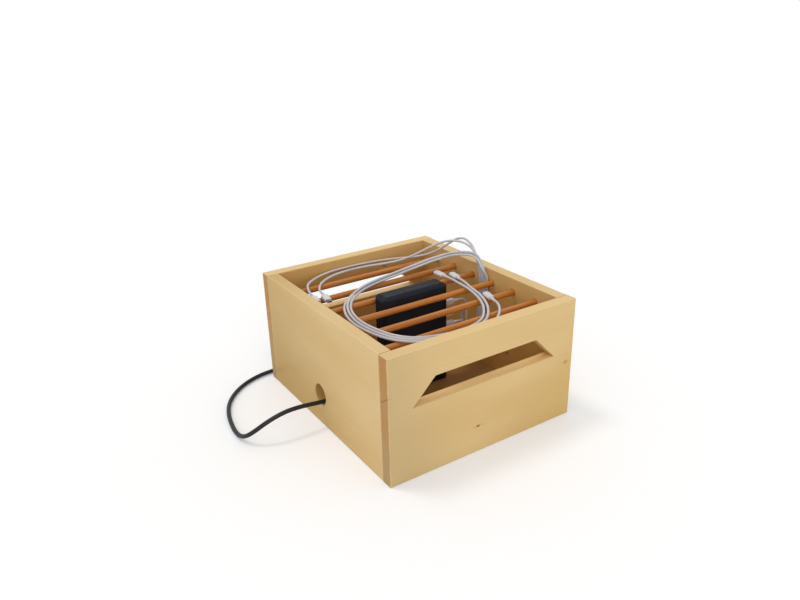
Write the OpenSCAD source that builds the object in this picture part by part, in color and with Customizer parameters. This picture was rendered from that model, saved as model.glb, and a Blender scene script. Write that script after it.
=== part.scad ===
// Laptop charging box: an open wooden box with round rails across its top, a charger that
// stands on its floor, and the charging leads that lie over the rails.
// X runs along the front, Y runs to the back and Z is up. The origin is on the surface that
// the box stands on, under the middle of the box.

/* [Box] */
// Outside width along the front
box_w = 340; // [310:1:380]
// Outside depth from front to back
box_d = 395; // [370:1:430]
// Height of the four boards
box_h = 200; // [190:1:230]
// Thickness of the four boards
board_t = 20; // [16:0.5:22]
// Radius of the eased edges of the boards
edge_r = 1.5; // [0.5:0.25:3]

/* [Hand slots] */
// Height of the lower edge of the slots in the front and back boards
slot_z = 114; // [100:1:120]
// Height of the slots
slot_h = 38; // [25:1:44]
// Length of the lower edge of the slots
slot_w = 260; // [180:1:270]
// How far each end leans in from the lower edge to the upper edge
slot_lean = 38; // [0:1:45]
// Size of the bevels along the edges of the slots
slot_ease = 1; // [0.5:0.25:2]

/* [Cable hole] */
// Diameter of the hole in the left board
hole_d = 35; // [30:1:44]
// Place of the hole's centre behind the middle of the box
hole_y = 5; // [0:1:8]
// Height of the hole's centre
hole_z = 53; // [50:1:56]
// Size of the bevels at both ends of the hole
hole_ease = 1; // [0.5:0.25:2]

/* [Rails] */
// Diameter of the round rails
rail_d = 10; // [8:0.5:12]
// Depth of the rails' centres below the upper edge of the boards
rail_drop = 24; // [18:1:40]
// Length of each rail end inside its blind hole
rail_seat = 12; // [6:0.5:13]
// Play of a rail in its blind hole, on the diameter
rail_play = 0.2; // [0.1:0.05:0.5]
// Size of the bevels at the mouths of the blind holes
rail_ease = 0.8; // [0.4:0.1:1.5]

/* [Floor panel] */
// Thickness of the floor panel
floor_t = 8; // [5:0.5:10]
// Height of the panel's underside
floor_z = 8; // [4:0.5:12]
// Depth of the panel's edge in the grooves of the boards
groove_depth = 7; // [4:0.5:9]
// Play of the panel in its grooves
groove_play = 0.2; // [0.1:0.05:0.5]

/* [Corner pins] */
// Diameter of the hidden wooden pins in the corners
pin_d = 8; // [6:0.5:10]
// Length of a pin inside the front or back board
pin_in_panel = 13; // [8:0.5:13]
// Length of a pin inside the end of a side board
pin_in_side = 26; // [15:1:35]
// Play of a pin in its holes, on the diameter and at each end
pin_play = 0.2; // [0.1:0.05:0.4]
// Height of the lowest pin of a corner
pin_z = 40; // [32:1:50]
// Distance between the pins of a corner
pin_step = 60; // [40:1:65]

/* [Charger] */
// Width of the charger along the front
charger_w = 124; // [114:1:136]
// Thickness of the charger
charger_t = 32; // [30:1:38]
// Height of the charger
charger_h = 178; // [165:1:190]
// Place of the charger's middle to the right of the middle of the box
charger_x = 3; // [-3:1:6]
// Size of the bevels at the charger's upper corners
charger_corner = 7; // [4:1:14]
// Size of the bevels round the charger's two large faces
charger_edge = 5; // [2:0.5:5.5]
// Wall of the two charger covers
shell_t = 2.2; // [1.6:0.1:3]
// Diameter of the screws that hold the covers together
screw_d = 3; // [2:0.5:4]
// Diameter of the posts that the screws go through
post_d = 8; // [7:0.5:10]
// Distance of the screws from the charger's base, and of the upper ones from its ends and bevels
screw_inset = 13; // [11:0.5:16]
// Thickness of the circuit board
pcb_t = 1.6; // [1:0.1:2]
// Width of the transformer's core
core_w = 44; // [36:1:50]
// Thickness of the transformer's core
core_t = 11; // [9:0.5:12]
// Height of the transformer's core
core_h = 38; // [30:1:44]
// Width of the transformer's winding
winding_w = 30; // [24:1:34]
// Thickness of the transformer's winding
winding_t = 13; // [12:0.5:14]
// Height of the transformer's winding
winding_h = 30; // [24:1:30]
// Diameter of the capacitor
capacitor_d = 11.5; // [8:0.5:12]
// Length of the capacitor
capacitor_l = 32; // [24:1:36]

/* [Ports and inlet] */
// Height of the lowest charging port above the charger's base
port_z = 34; // [20:1:40]
// Distance between the charging ports
port_step = 20; // [16:0.5:22]
// Depth of the charging ports
port_depth = 8; // [7.5:0.5:10]
// Height of the mains inlet's centre above the charger's base
inlet_z = 25; // [21:1:27]
// Depth of the inlet's body
inlet_depth = 22; // [19:0.5:26]

/* [Charging leads] */
// Diameter of the charging leads
lead_d = 4; // [3:0.1:4.2]
// Width of the plugs' bodies
plug_w = 12; // [10:0.5:13]
// Thickness of the plugs' bodies
plug_t = 6.5; // [5.5:0.1:7]
// Length of the plugs' bodies
plug_l = 21; // [17:0.5:23]
// Length of the tapered boot behind a plug's body
boot_l = 10; // [6:0.5:12]
// Width of a plug's metal tip
tip_w = 8.3; // [7:0.1:8.6]
// Thickness of a plug's metal tip
tip_t = 2.5; // [2:0.1:2.8]
// Length of a plug's metal tip
tip_l = 6.6; // [5.5:0.1:7]

/* [Mains lead] */
// Diameter of the mains lead
mains_d = 7; // [6:0.1:7.4]
// Length of the connector's grip
grip_l = 35; // [28:1:38]
// Length of the strain relief on the connector and on the plug
relief_l = 30; // [20:1:32]
// Radius of the coil at the middle of its innermost turn
coil_r = 30; // [28:0.5:34]
// Distance between the coil's turns and between its two layers
coil_step = 8.7; // [8.6:0.1:9.2]
// Diameter of the mains plug
mains_plug_d = 37; // [34:0.5:39]
// Length of the mains plug's body
mains_plug_l = 37; // [34:0.5:40]
// Diameter of the mains plug's pins
plug_pin_d = 4.8; // [4:0.1:5]
// Length of the mains plug's pins
plug_pin_l = 19; // [15:0.5:20]
// Distance between the mains plug's pins
plug_pin_gap = 19; // [17:0.5:20]

/* [Hidden] */

// Facets of round shapes
$fn = 48;
// Small overlap that lets a cut pass right through a face
eps = 0.5;
// Fine clearance between rigid pieces that fit together
fit = 0.2;

// Colours of the pieces
board_colour = "#dcbb8c";
rail_colour = "#b0763f";
panel_colour = "#e3cfa8";
charger_colour = "#30343b";
lead_colour = "#d3d0c9";
plug_colour = "#e6e4df";
mains_colour = "#1b1b1d";
metal_colour = "#b9bcc0";

// Inside of the box
inner_w = box_w - 2 * board_t;
inner_d = box_d - 2 * board_t;
floor_top = floor_z + floor_t;

// Rails: equal clear gaps from the front board to the back board
rail_count = 6;
rail_gap = (inner_d - rail_count * rail_d) / (rail_count + 1);
rail_pitch = rail_gap + rail_d;
rail_z = box_h - rail_drop;
rail_top = rail_z + rail_d / 2;
function rail_y(i) = (i - (rail_count + 1) / 2) * rail_pitch;

// Pins of a corner
pins_per_corner = 3;

// Charger faces and the planes inside it
charger_left = charger_x - charger_w / 2;
charger_right = charger_x + charger_w / 2;
charger_base = floor_top;
charger_top = charger_base + charger_h;
port_wall = 0.45;
port_shell_w = tip_w + 2 * port_wall;
port_shell_t = tip_t + 2 * port_wall;
pcb_face = port_shell_t / 2;
low_screw_inset = inlet_depth + post_d;
screw_places = [for (side = [-1, 1])
    each [[charger_x + side * (charger_w / 2 - low_screw_inset), charger_base + screw_inset],
        [charger_x + side * (charger_w / 2 - screw_inset), charger_top - charger_corner - screw_inset]]];
screw_head_d = 2 * screw_d;
screw_head_h = 0.6 * screw_d;
screw_head_y = charger_t / 2 - shell_t;

// Charging ports: the port that each lead is plugged into, counted from below
port_count = 6;
lead_count = 5;
lead_port = [1, 2, 5, 4, 3];
function port_height(i) = charger_base + port_z + i * port_step;
lead_start_x = charger_right + fit + plug_l + boot_l;
// Wall of a plug's hollow tip, depth of its floor, and the tongue of a port that goes into it
tip_wall = 0.4;
tip_floor = 0.6;
tongue = [4.6, 6.2, 0.7];
// Lip of a plug's boot round its lead, and its step below the plug's body
boot_lip = 0.6;

// Mains inlet and the connector in it
inlet_w = 20;
inlet_h = 27;
nose_w = 15.6;
nose_h = 23.6;
nose_l = 15.5;
nose_corner = 4;
blade = [12, 2, 4];
blade_root = 1;
blade_spread = 7;
blade_shift = 2;
mains_z = charger_base + inlet_z;
grip_start = charger_left - fit;
grip_end = grip_start - grip_l;
mains_start_x = grip_end - relief_l;
// Diameters of a strain relief at its thick end and at its thin end
relief_d0 = 2 * mains_d;
relief_d1 = 1.25 * mains_d;

// Coil of the spare mains lead, laid behind the box on its tie
tie_t = 1;
tie_w = 9;
coil_lift = tie_t + fit;
coil_turns = 2.25;
coil_outer_r = coil_r + coil_turns * coil_step;
coil_x = -75;
coil_y = 258;
coil_z = coil_lift + mains_d / 2;
coil_entry = [coil_x, coil_y - coil_outer_r, coil_z];
coil_exit = coil_entry + [0, 0, coil_step];
loop_rings = 24;
plug_stand = 8;
plug_axis_y = box_d / 2 + mains_plug_d / 2 + plug_stand;
plug_rear_x = 12;
plug_rear = [plug_rear_x, plug_axis_y, mains_plug_d / 2 + fit];

// Route of the mains lead from its connector to the coil, lying on the surface beside the box
mains_route = [
    [mains_start_x, 0, mains_z], [-145, 0, mains_z], [-168, 0, 42], [-190, 0, 44.5], [-211, 0, 46.5],
    [-231, 0.5, 46], [-250, 1.5, 42], [-267, 4.5, 34.5], [-281, 11, 24], [-290.5, 22, 13.5],
    [-295, 38, 6.5], [-295.5, 59, 4], [-292, 86, 4], [-285, 115, 4], [-272, 145, 4], [-251, 172, 4],
    [-222, 194, 4], [-188, 206, 4.5],
    [-150, coil_entry.y, coil_z], [-110, coil_entry.y, coil_z],
    [coil_x - mains_d, coil_entry.y, coil_z], coil_entry];

// Route of the mains lead from the coil to its plug
mains_end_route = [
    coil_exit, coil_exit + [mains_d, 0, 0], [-50, coil_entry.y + 2, 14], [-26, coil_entry.y + 10, 17],
    plug_rear - [2 * mains_d, 0, 0], plug_rear];

// Shared route of leads 1 to 3 over the rails, with heights above the rails
bundle_route = [
    [139, 5, 36], [124, 38, 34], [98, 62, 24], [64, 77, 13], [24, 81, 6], [-16, 77, 3], [-52, 65, 2.5],
    [-82, 45, 2.5], [-105, 19, 2.5], [-119, -12, 2.5], [-124.5, -46, 2.5], [-121, -82, 2.5],
    [-111, -115, 2.5], [-91, -141, 2.5], [-62, -155.5, 2.5], [-28, -162, 2.5], [6, -160, 2.5],
    [34, -149, 2.5], [56, -128.5, 2.5], [75, -101, 2.5], [89, -68, 2.5], [97, -34, 2.5]];
// Sideways step between the three strands, and how much wider it grows where they fan out
strand_gap = 2.7;
strand_fan = 4;
// Height of the middle strand above the other two where they lie as one bundle
strand_rise = 4.2;
// Points of the shared route between which the strands fan out
fan_from = 5;
fan_to = 11;
// Last point of the shared route that each of leads 1 to 3 follows
bundle_last = [21, 21, 16];
// Last stretch of leads 1 to 3, with heights above the rails
bundle_tails = [
    [[91.5, -5, 3.5], [92.8, 10, 3.6], [92.3, 24, 3.6]],
    [[102.5, -10, 3.6], [104.2, 2, 3.6]],
    [[40, -160.5, 2.5], [62, -146, 2.8], [78.5, -128, 3.5], [87, -113.5, 3.6], [90.3, -101, 3.6]]];

// Each lead leaves its plug straight, then turns down a quarter circle and aside to its lane
lead_straight = 5;
turn_r = [10.5, 15.2, 14.8, 13.8, 11.8];
turn_y = [-8.5, -5, 0.8, 10, 5];

// Slack of leads 1 to 3 beside the charger: a loop that hangs down to dip_z and rises again
down_z = [[], [], [110, 88]];
dip_x = [124, 128, 128];
dip_r = [11.5, 11, 11];
dip_z = [42, 57, 53];
dip_y = [-10, -4.5, 1];
rise_run = 14;
rise_mid_z = 110;
rise_end_x = 147;
rise_end_y = [-17, -12.2, -7.4];
rise_end_drop = 15;
// First points of leads 1 to 3 above the rails, with heights above the rails
rise_top = [
    [[146, -16.5, 5], [140, -11.8, 18.4]],
    [[147, -11.3, 5], [144.7, -6.1, 22.5]],
    [[147, -6, 5], [146.5, -1.7, 20]]];

// Slack of leads 4 and 5: a hairpin on the floor panel, behind the charger
hairpin_x = 124.5;
hairpin_y = [140, 133];
hairpin_r = [21.5, 15.5];
lay_gap = 0.5;
lay_z = floor_top + lead_d / 2 + lay_gap;

// Leads 4 and 5 from their ports down to the hairpin
drop_4 = [[118, 14, 98], [118, 21, 70], [114, 32, 48], [108, 46, 32], [104, 64, 22], [103, 88, lay_z]];
drop_5 = [[113, 9, 84], [112, 18, 50], [112, 30, 30], [110.5, 46, 21], [109, 66, lay_z],
    [109, 92, lay_z]];
// Leads 4 and 5 from the hairpin up to the rails
rise_4 = [[146, 80, lay_z], [145, 46, lay_z], [143.5, 24, 24], [144.5, 9, 42], [146.5, 2, 70],
    [147, -0.4, 115], [147, -2.2, 162]];
rise_5 = [[140, 56, lay_z], [139.5, 36, 22.5], [141, 21, 38], [145, 11.5, 66], [147, 6, 110],
    [147, 2.2, 160]];
// Leads 4 and 5 over the rails, with heights above the rails
back_4 = [[147, -1, 7], [147, 4.4, 23], [145.3, 10.8, 36], [142.3, 20, 46], [139, 35, 52],
    [131.5, 55, 53], [121, 76, 47], [107, 97, 34], [90, 117, 19], [69, 134, 8], [42, 148, 3],
    [9, 156, 2.5], [-26, 157, 2.5], [-61, 150, 2.5], [-91, 132, 2.5], [-109, 107, 3],
    [-113, 95, 3.6], [-115, 84, 3.6]];
back_5 = [[147, 4, 7], [147.2, 10, 25], [147.3, 17.8, 40], [146.6, 29, 51.5], [145.5, 44, 56.5],
    [144, 62, 52.5], [141, 80, 41], [134.5, 99, 26.5], [123, 119, 13.5], [105, 139, 5.5], [80, 156, 3],
    [49, 167, 2.5], [15, 172, 2.5], [-20, 173, 2.5], [-55, 170, 2.5], [-88, 158, 2.5],
    [-114, 138, 2.8], [-127, 111, 3.4], [-130, 100, 3.6], [-132, 89, 3.6]];

// Sides of the swept tubes, and rings between two points of a route
tube_sides = 8;
rings_between = 2;

// Vectors and smooth routes

function unit(v) = v / norm(v);
function clamp01(t) = min(1, max(0, t));
function ease(t) = t * t * (3 - 2 * t);
function blend(a, b, ta, tb, t) = (a * (tb - t) + b * (t - ta)) / (tb - ta);

// Point of a smooth curve through p1 and p2, at share u of the way, with knots at root distances
function curve_point(p0, p1, p2, p3, u) =
    let (k1 = sqrt(norm(p1 - p0)))
    let (k2 = k1 + sqrt(norm(p2 - p1)))
    let (k3 = k2 + sqrt(norm(p3 - p2)))
    let (t = k1 + (k2 - k1) * u)
    let (a1 = blend(p0, p1, 0, k1, t), a2 = blend(p1, p2, k1, k2, t), a3 = blend(p2, p3, k2, k3, t))
    let (b1 = blend(a1, a2, 0, k2, t), b2 = blend(a2, a3, k1, k3, t))
    blend(b1, b2, k1, k2, t);

// Route point i, or its mirror image past an end of the route
function point_at(route, i) =
    i < 0 ? 2 * route[0] - route[1]
    : i >= len(route) ? 2 * route[len(route) - 1] - route[len(route) - 2]
    : route[i];

// Smooth path through a route, with a number of rings between two points
function smooth(route, rings) = concat(
    [for (i = [0:len(route) - 2]) for (s = [0:rings - 1])
        curve_point(point_at(route, i - 1), route[i], route[i + 1], point_at(route, i + 2), s / rings)],
    [route[len(route) - 1]]);

function heading(path, i) = unit(point_at(path, i + 1) - point_at(path, i - 1));
function square_to(v, d) = unit(v - d * (v * d));

// A direction square to the path at each of its points, carried along without a twist
function side_directions(path) =
    let (d0 = heading(path, 0), start = abs(d0.z) < 0.9 ? [0, 0, 1] : [1, 0, 0])
    [for (i = 0, v = square_to(start, d0); i < len(path); i = i + 1,
        v = i < len(path) ? square_to(v, heading(path, i)) : v) v];

// Length of a path, and the least gap of a tube along it to itself
function path_length(path) =
    [for (i = 0, sum = 0; i < len(path); i = i + 1,
        sum = i < len(path) ? sum + norm(path[i] - path[i - 1]) : sum) sum][len(path) - 1];
function self_gap(path, d, apart) =
    min([for (i = [0:len(path) - 1 - apart]) for (j = [i + apart:len(path) - 1])
        norm(path[i] - path[j])]) - d;

function raised(points, z) = [for (p = points) p + [0, 0, z]];

// Routes of the charging leads

// Point i of the shared route for lead k: strands lie side by side, with the middle one on top
function strand_point(i, k) =
    let (along = point_at(bundle_route, i + 1) - point_at(bundle_route, i - 1))
    let (side = unit([along.y, -along.x, 0]))
    let (fan = ease(clamp01((i - fan_from) / (fan_to - fan_from))))
    let (lift = k == 2 ? strand_rise * (1 - fan) : 0)
    bundle_route[i] + (k - 2) * (strand_gap + strand_fan * fan) * side + [0, 0, lift];

// Leads 1 to 3 down to their hanging loops and up again to the rails
function dip_points(k) =
    let (x = dip_x[k - 1], y = dip_y[k - 1], r = dip_r[k - 1], turn_z = dip_z[k - 1] + r)
    let (end = [rise_end_x, rise_end_y[k - 1], rail_top - rise_end_drop])
    concat(
        [for (z = down_z[k - 1]) [x - r, y, z]],
        [for (a = [180:30:360]) [x + r * cos(a), y, turn_z + r * sin(a)]],
        [[x + r, y, turn_z + rise_run], [(x + r + end.x) / 2, (y + end.y) / 2, rise_mid_z], end],
        raised(rise_top[k - 1], rail_top));

function hairpin_points(i) =
    [for (a = [180:-30:0]) [hairpin_x + hairpin_r[i] * cos(a), hairpin_y[i] + hairpin_r[i] * sin(a),
        lay_z]];

// A lead from its plug through its quarter turn
function lead_start(k) =
    let (start = [lead_start_x, 0, port_height(lead_port[k - 1])], r = turn_r[k - 1])
    concat([start, start + [lead_straight, 0, 0]],
        [for (a = [30:30:90]) start + [lead_straight + r * sin(a),
            turn_y[k - 1] * pow(a / 90, 1.5), r * cos(a) - r]]);

function lead_route(k) =
    k <= 3 ? concat(lead_start(k), dip_points(k),
        raised([for (i = [0:bundle_last[k - 1]]) strand_point(i, k)], rail_top),
        raised(bundle_tails[k - 1], rail_top))
    : k == 4 ? concat(lead_start(k), drop_4, hairpin_points(0), rise_4, raised(back_4, rail_top))
    : concat(lead_start(k), drop_5, hairpin_points(1), rise_5, raised(back_5, rail_top));

// Turns of the coil: in along the lower layer, up in half a turn, and out along the upper layer
function coil_point(a) =
    let (layer = 360 * coil_turns)
    let (r = a < layer ? coil_outer_r - coil_step * a / 360
        : a < layer + 180 ? coil_r : coil_r + coil_step * (a - layer - 180) / 360)
    let (climb = ease(clamp01((a - layer) / 180)))
    [coil_x + r * cos(a - 90), coil_y + r * sin(a - 90), coil_z + coil_step * climb];
coil_angle = 360 * (2 * coil_turns + 0.5);
coil_path = concat(
    [coil_entry, coil_entry + [mains_d / 4, 0, 0]],
    [for (a = [360 / loop_rings:360 / loop_rings:coil_angle - 360 / loop_rings]) coil_point(a)],
    [coil_exit - [mains_d / 4, 0, 0], coil_exit]);

echo(mains_coil_least_gap = self_gap(coil_path, mains_d, loop_rings / 2));
echo(mains_lengths = [path_length(smooth(mains_route, 8)), path_length(coil_path),
    path_length(smooth(mains_end_route, 8))]);
for (k = [1:lead_count])
    echo(lead = k, length = path_length(smooth(lead_route(k), 8)),
        least_gap = self_gap(smooth(lead_route(k), rings_between), lead_d, 10));

// Shared shapes

// Tube of diameter d along a path
module tube(path, d) {
    sides = tube_sides;
    v = side_directions(path);
    rings = [for (i = [0:len(path) - 1]) for (s = [0:sides - 1])
        path[i] + d / 2 * (cos(360 * s / sides) * v[i]
            + sin(360 * s / sides) * cross(heading(path, i), v[i]))];
    last = (len(path) - 1) * sides;
    walls = [for (i = [0:len(path) - 2]) for (s = [0:sides - 1])
        let (a = i * sides + s, b = i * sides + (s + 1) % sides)
        each [[a, a + sides, b + sides], [a, b + sides, b]]];
    start_cap = [for (s = [1:sides - 2]) [0, s, s + 1]];
    end_cap = [for (s = [1:sides - 2]) [last, last + s + 1, last + s]];
    polyhedron(rings, concat(walls, start_cap, end_cap));
}

// Rectangle round its middle with round corners
module rounded_rect(w, h, r) {
    square([w - 2 * r, h], center = true);
    square([w, h - 2 * r], center = true);
    for (x = [-1, 1], y = [-1, 1])
        translate([x * (w / 2 - r), y * (h / 2 - r)])
            circle(r);
}

// Flat shape with round ends, w long and h high
module stadium(w, h) {
    square([w - h, h], center = true);
    for (x = [-1, 1])
        translate([x * (w - h) / 2, 0])
            circle(h / 2);
}

// Turns a flat shape into a bar along X, from x = 0: its first axis becomes Y and its second Z
module bar_x(l) {
    rotate([90, 0, 90])
        linear_extrude(l)
            children();
}

// Wooden box

// Floor panel, grown by its play where it is used as a cutter
module floor_slab(play) {
    translate([0, 0, floor_z + floor_t / 2])
        cube([inner_w + 2 * groove_depth + 2 * play, inner_d + 2 * groove_depth + 2 * play,
            floor_t + 2 * play], center = true);
}

// Places of the pins: the joint face of each corner, facing the front or the back board
module at_pins() {
    for (x = [-1, 1], y = [-1, 1], i = [0:pins_per_corner - 1])
        translate([x * (box_w - board_t) / 2, y * inner_d / 2, pin_z + i * pin_step])
            rotate([-90 * y, 0, 0])
                children();
}

// One pin, along Z from inside the side board to inside the front or back board
module pin(play) {
    translate([0, 0, -pin_in_side - play])
        cylinder(h = pin_in_side + pin_in_panel + 2 * play, d = pin_d + play);
}

// Board that runs the full width, at the front (side -1) or the back (side 1)
module cross_board(side) {
    difference() {
        intersection() {
            translate([-box_w / 2, side * (box_d - board_t) / 2, box_h / 2])
                bar_x(box_w)
                    rounded_rect(board_t, box_h, edge_r);
            translate([0, side * (box_d / 2 - board_t), 0])
                linear_extrude(box_h)
                    rounded_rect(box_w, 2 * board_t, edge_r);
        }
        hand_slot(side);
        for (face = [0, 1])
            translate([0, side * (box_d - board_t) / 2, slot_z])
                mirror([0, face, 0])
                    slot_mouth();
        floor_slab(groove_play);
        at_pins() pin(pin_play);
    }
}

// Outline of a slot with leaning ends, grown by a margin on every side
function slot_outline(grow) =
    let (lean = atan2(slot_lean, slot_h))
    let (low_x = slot_w / 2 + grow * (1 + sin(lean)) / cos(lean))
    let (high_x = slot_w / 2 - slot_lean + grow * (1 - sin(lean)) / cos(lean))
    [[-low_x, -grow], [low_x, -grow], [high_x, slot_h + grow], [-high_x, slot_h + grow]];

// Slot right through a board
module hand_slot(side) {
    translate([0, side * (box_d - board_t) / 2 + board_t / 2 + eps, slot_z])
        rotate([90, 0, 0])
            linear_extrude(board_t + 2 * eps)
                polygon(slot_outline(0));
}

// Bevel round the mouth of a slot at the +Y face of a board whose middle is at y = 0
module slot_mouth() {
    wide = [for (p = slot_outline(slot_ease + eps)) [p.x, board_t / 2 + eps, p.y]];
    narrow = [for (p = slot_outline(0)) [p.x, board_t / 2 - slot_ease, p.y]];
    walls = [for (i = [0:3]) [i + 4, (i + 1) % 4 + 4, (i + 1) % 4, i]];
    polyhedron(concat(wide, narrow), concat([[0, 1, 2, 3], [7, 6, 5, 4]], walls));
}

// Board between the two cross boards, on the left (side -1) or the right (side 1)
module side_board(side) {
    difference() {
        translate([side * (box_w - board_t) / 2, inner_d / 2, box_h / 2])
            rotate([90, 0, 0])
                linear_extrude(inner_d)
                    rounded_rect(board_t, box_h, edge_r);
        for (i = [1:rail_count]) {
            rail_blank(i, rail_play);
            translate([side * inner_w / 2, rail_y(i), rail_z])
                rotate([0, 90 * side, 0])
                    hole_mouth(rail_d + rail_play, rail_ease);
        }
        floor_slab(groove_play);
        at_pins() pin(pin_play);
    }
}

// Bevel at the mouth of a hole of diameter d, which goes into the wood along +Z
module hole_mouth(d, ease) {
    translate([0, 0, -eps])
        cylinder(h = ease + eps, d1 = d + 2 * (ease + eps), d2 = d);
}

// A rail with both of its seats, grown by its play where it is used as a cutter
module rail_blank(i, play) {
    l = inner_w + 2 * rail_seat + 2 * play;
    translate([-l / 2, rail_y(i), rail_z])
        rotate([0, 90, 0])
            cylinder(h = l, d = rail_d + play);
}

module front_panel() {
    color(board_colour) cross_board(-1);
}

module back_panel() {
    color(board_colour) cross_board(1);
}

module left_side() {
    color(board_colour)
        difference() {
            side_board(-1);
            translate([-box_w / 2 - eps, hole_y, hole_z])
                rotate([0, 90, 0])
                    cylinder(h = board_t + 2 * eps, d = hole_d);
            translate([-box_w / 2, hole_y, hole_z])
                rotate([0, 90, 0])
                    hole_mouth(hole_d, hole_ease);
            translate([-inner_w / 2, hole_y, hole_z])
                rotate([0, -90, 0])
                    hole_mouth(hole_d, hole_ease);
        }
}

module right_side() {
    color(board_colour) side_board(1);
}

module floor_panel() {
    color(panel_colour) floor_slab(0);
}

module corner_pins() {
    color(rail_colour) at_pins() pin(0);
}

module rail(i) {
    color(rail_colour) rail_blank(i, 0);
}

// Charger

// The charger's block, drawn in by an inset on every side
module charger_block(inset) {
    w = charger_w / 2 - inset;
    t = charger_t / 2 - inset;
    low = charger_base + inset;
    high = charger_top - inset;
    c = charger_corner;
    e = charger_edge;
    intersection() {
        translate([charger_x, charger_t, 0])
            rotate([90, 0, 0])
                linear_extrude(2 * charger_t)
                    polygon([[-w, low], [w, low], [w, high - c], [w - c, high], [c - w, high],
                        [-w, high - c]]);
        translate([charger_x, 0, 0])
            linear_extrude(charger_top + eps)
                polygon([[-w, e - t], [e - w, -t], [w - e, -t], [w, e - t], [w, t - e], [w - e, t],
                    [e - w, t], [-w, t - e]]);
        translate([charger_left, 0, 0])
            bar_x(charger_w)
                polygon([[e - t, low], [-t, low + e], [-t, high - e], [e - t, high], [t - e, high],
                    [t, high - e], [t, low + e], [t - e, low]]);
    }
}

// Keeps the half of the charger in front of (side -1) or behind (side 1) its parting plane
module charger_half(side) {
    intersection() {
        children();
        translate([charger_left - eps, side < 0 ? -charger_t : 0, 0])
            cube([charger_w + 2 * eps, charger_t, charger_top + eps]);
    }
}

module at_screws() {
    for (p = screw_places)
        translate([p[0], 0, p[1]])
            rotate([-90, 0, 0])
                children();
}

// Openings for the ports and the inlet in the ends of the covers
module end_openings() {
    translate([charger_right - shell_t - eps, 0, 0])
        at_ports()
            bar_x(shell_t + 2 * eps)
                rotate(90) stadium(port_shell_w + fit, port_shell_t + fit);
    translate([charger_left - eps, 0, mains_z])
        bar_x(shell_t + 2 * eps)
            square([inlet_w + fit, inlet_h + fit], center = true);
}

module at_ports() {
    for (i = [0:port_count - 1])
        translate([0, 0, port_height(i)])
            children();
}

// Post of a cover, from the circuit board to the cover's wall
module post(from, to) {
    translate([0, 0, from])
        cylinder(h = to - from, d = post_d);
}

module charger_front_cover() {
    color(charger_colour)
        difference() {
            union() {
                difference() {
                    charger_half(-1) charger_block(0);
                    charger_block(shell_t);
                }
                at_screws() post(shell_t / 2 - charger_t / 2, pcb_face);
            }
            at_screws()
                translate([0, 0, shell_t - charger_t / 2])
                    cylinder(h = charger_t, d = screw_d + fit);
            end_openings();
        }
}

module charger_rear_cover() {
    color(charger_colour)
        difference() {
            union() {
                difference() {
                    charger_half(1) charger_block(0);
                    charger_block(shell_t);
                }
                at_screws() post(pcb_face + pcb_t, charger_t / 2 - shell_t / 2);
            }
            at_screws() {
                cylinder(h = charger_t, d = screw_d + fit);
                translate([0, 0, screw_head_y - screw_head_h])
                    cylinder(h = charger_t, d = screw_head_d + fit);
            }
            end_openings();
        }
}

module charger_screws() {
    color(metal_colour)
        at_screws() {
            translate([0, 0, shell_t + fit - charger_t / 2])
                cylinder(h = screw_head_y - screw_head_h + charger_t / 2 - shell_t - fit, d = screw_d);
            translate([0, 0, screw_head_y - screw_head_h])
                cylinder(h = screw_head_h, d = screw_head_d);
        }
}

module circuit_board() {
    inset = shell_t + charger_edge + fit;
    notch = inlet_depth + fit;
    color("#2f6b3d")
        difference() {
            translate([charger_left + inset, pcb_face, charger_base + inset])
                cube([charger_w - inset - shell_t - fit, pcb_t,
                    charger_h - charger_corner - 2 * inset]);
            translate([charger_left, 0, mains_z - inlet_h / 2 - fit])
                cube([notch, charger_t, inlet_h + 2 * fit]);
            at_screws()
                cylinder(h = charger_t, d = screw_d + 2 * fit);
        }
}

module transformer() {
    color("#c9a43a")
        translate([charger_x, pcb_face, charger_base + charger_h / 2]) {
            translate([0, -core_t / 2, 0])
                cube([core_w, core_t, core_h], center = true);
            translate([0, -winding_t / 2, 0])
                cube([winding_w, winding_t, winding_h], center = true);
        }
}

module capacitor() {
    r = capacitor_d / 2;
    l = capacitor_l;
    crimp = 1;
    color("#23272e")
        translate([charger_x - charger_w / 4, pcb_face - r, charger_base + (charger_h - l) / 2])
            rotate_extrude()
                polygon([[0, 0], [r - crimp, 0], [r, crimp], [r, l - 5 * crimp], [r - crimp, l - 4 * crimp],
                    [r - crimp, l - 3 * crimp], [r, l - 2 * crimp], [r, l - crimp], [r - crimp, l], [0, l]]);
}

module usb_ports() {
    color(metal_colour)
        translate([charger_right - port_depth, 0, 0])
            at_ports() {
                difference() {
                    bar_x(port_depth) rotate(90) stadium(port_shell_w, port_shell_t);
                    translate([port_depth - tip_l - fit, 0, 0])
                        bar_x(port_depth) rotate(90) stadium(tip_w + fit, tip_t + fit);
                }
                translate([port_depth - tip_l - 2 * fit, -tongue.z / 2, -tongue.y / 2])
                    cube([tongue.x + fit, tongue.z, tongue.y]);
            }
}

// Outline of the connector's nose, with two bevelled corners
module nose_outline(play) {
    w = nose_w / 2 + play;
    h = nose_h / 2 + play;
    c = nose_corner;
    polygon([[-w, -h], [w - c, -h], [w, c - h], [w, h - c], [w - c, h], [-w, h]]);
}

// The three blades of the inlet, or their slots in the connector
module at_blades() {
    for (p = [[-blade_shift, -blade_spread], [blade_shift, 0], [-blade_shift, blade_spread]])
        translate([0, p[0], p[1]])
            children();
}

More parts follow.
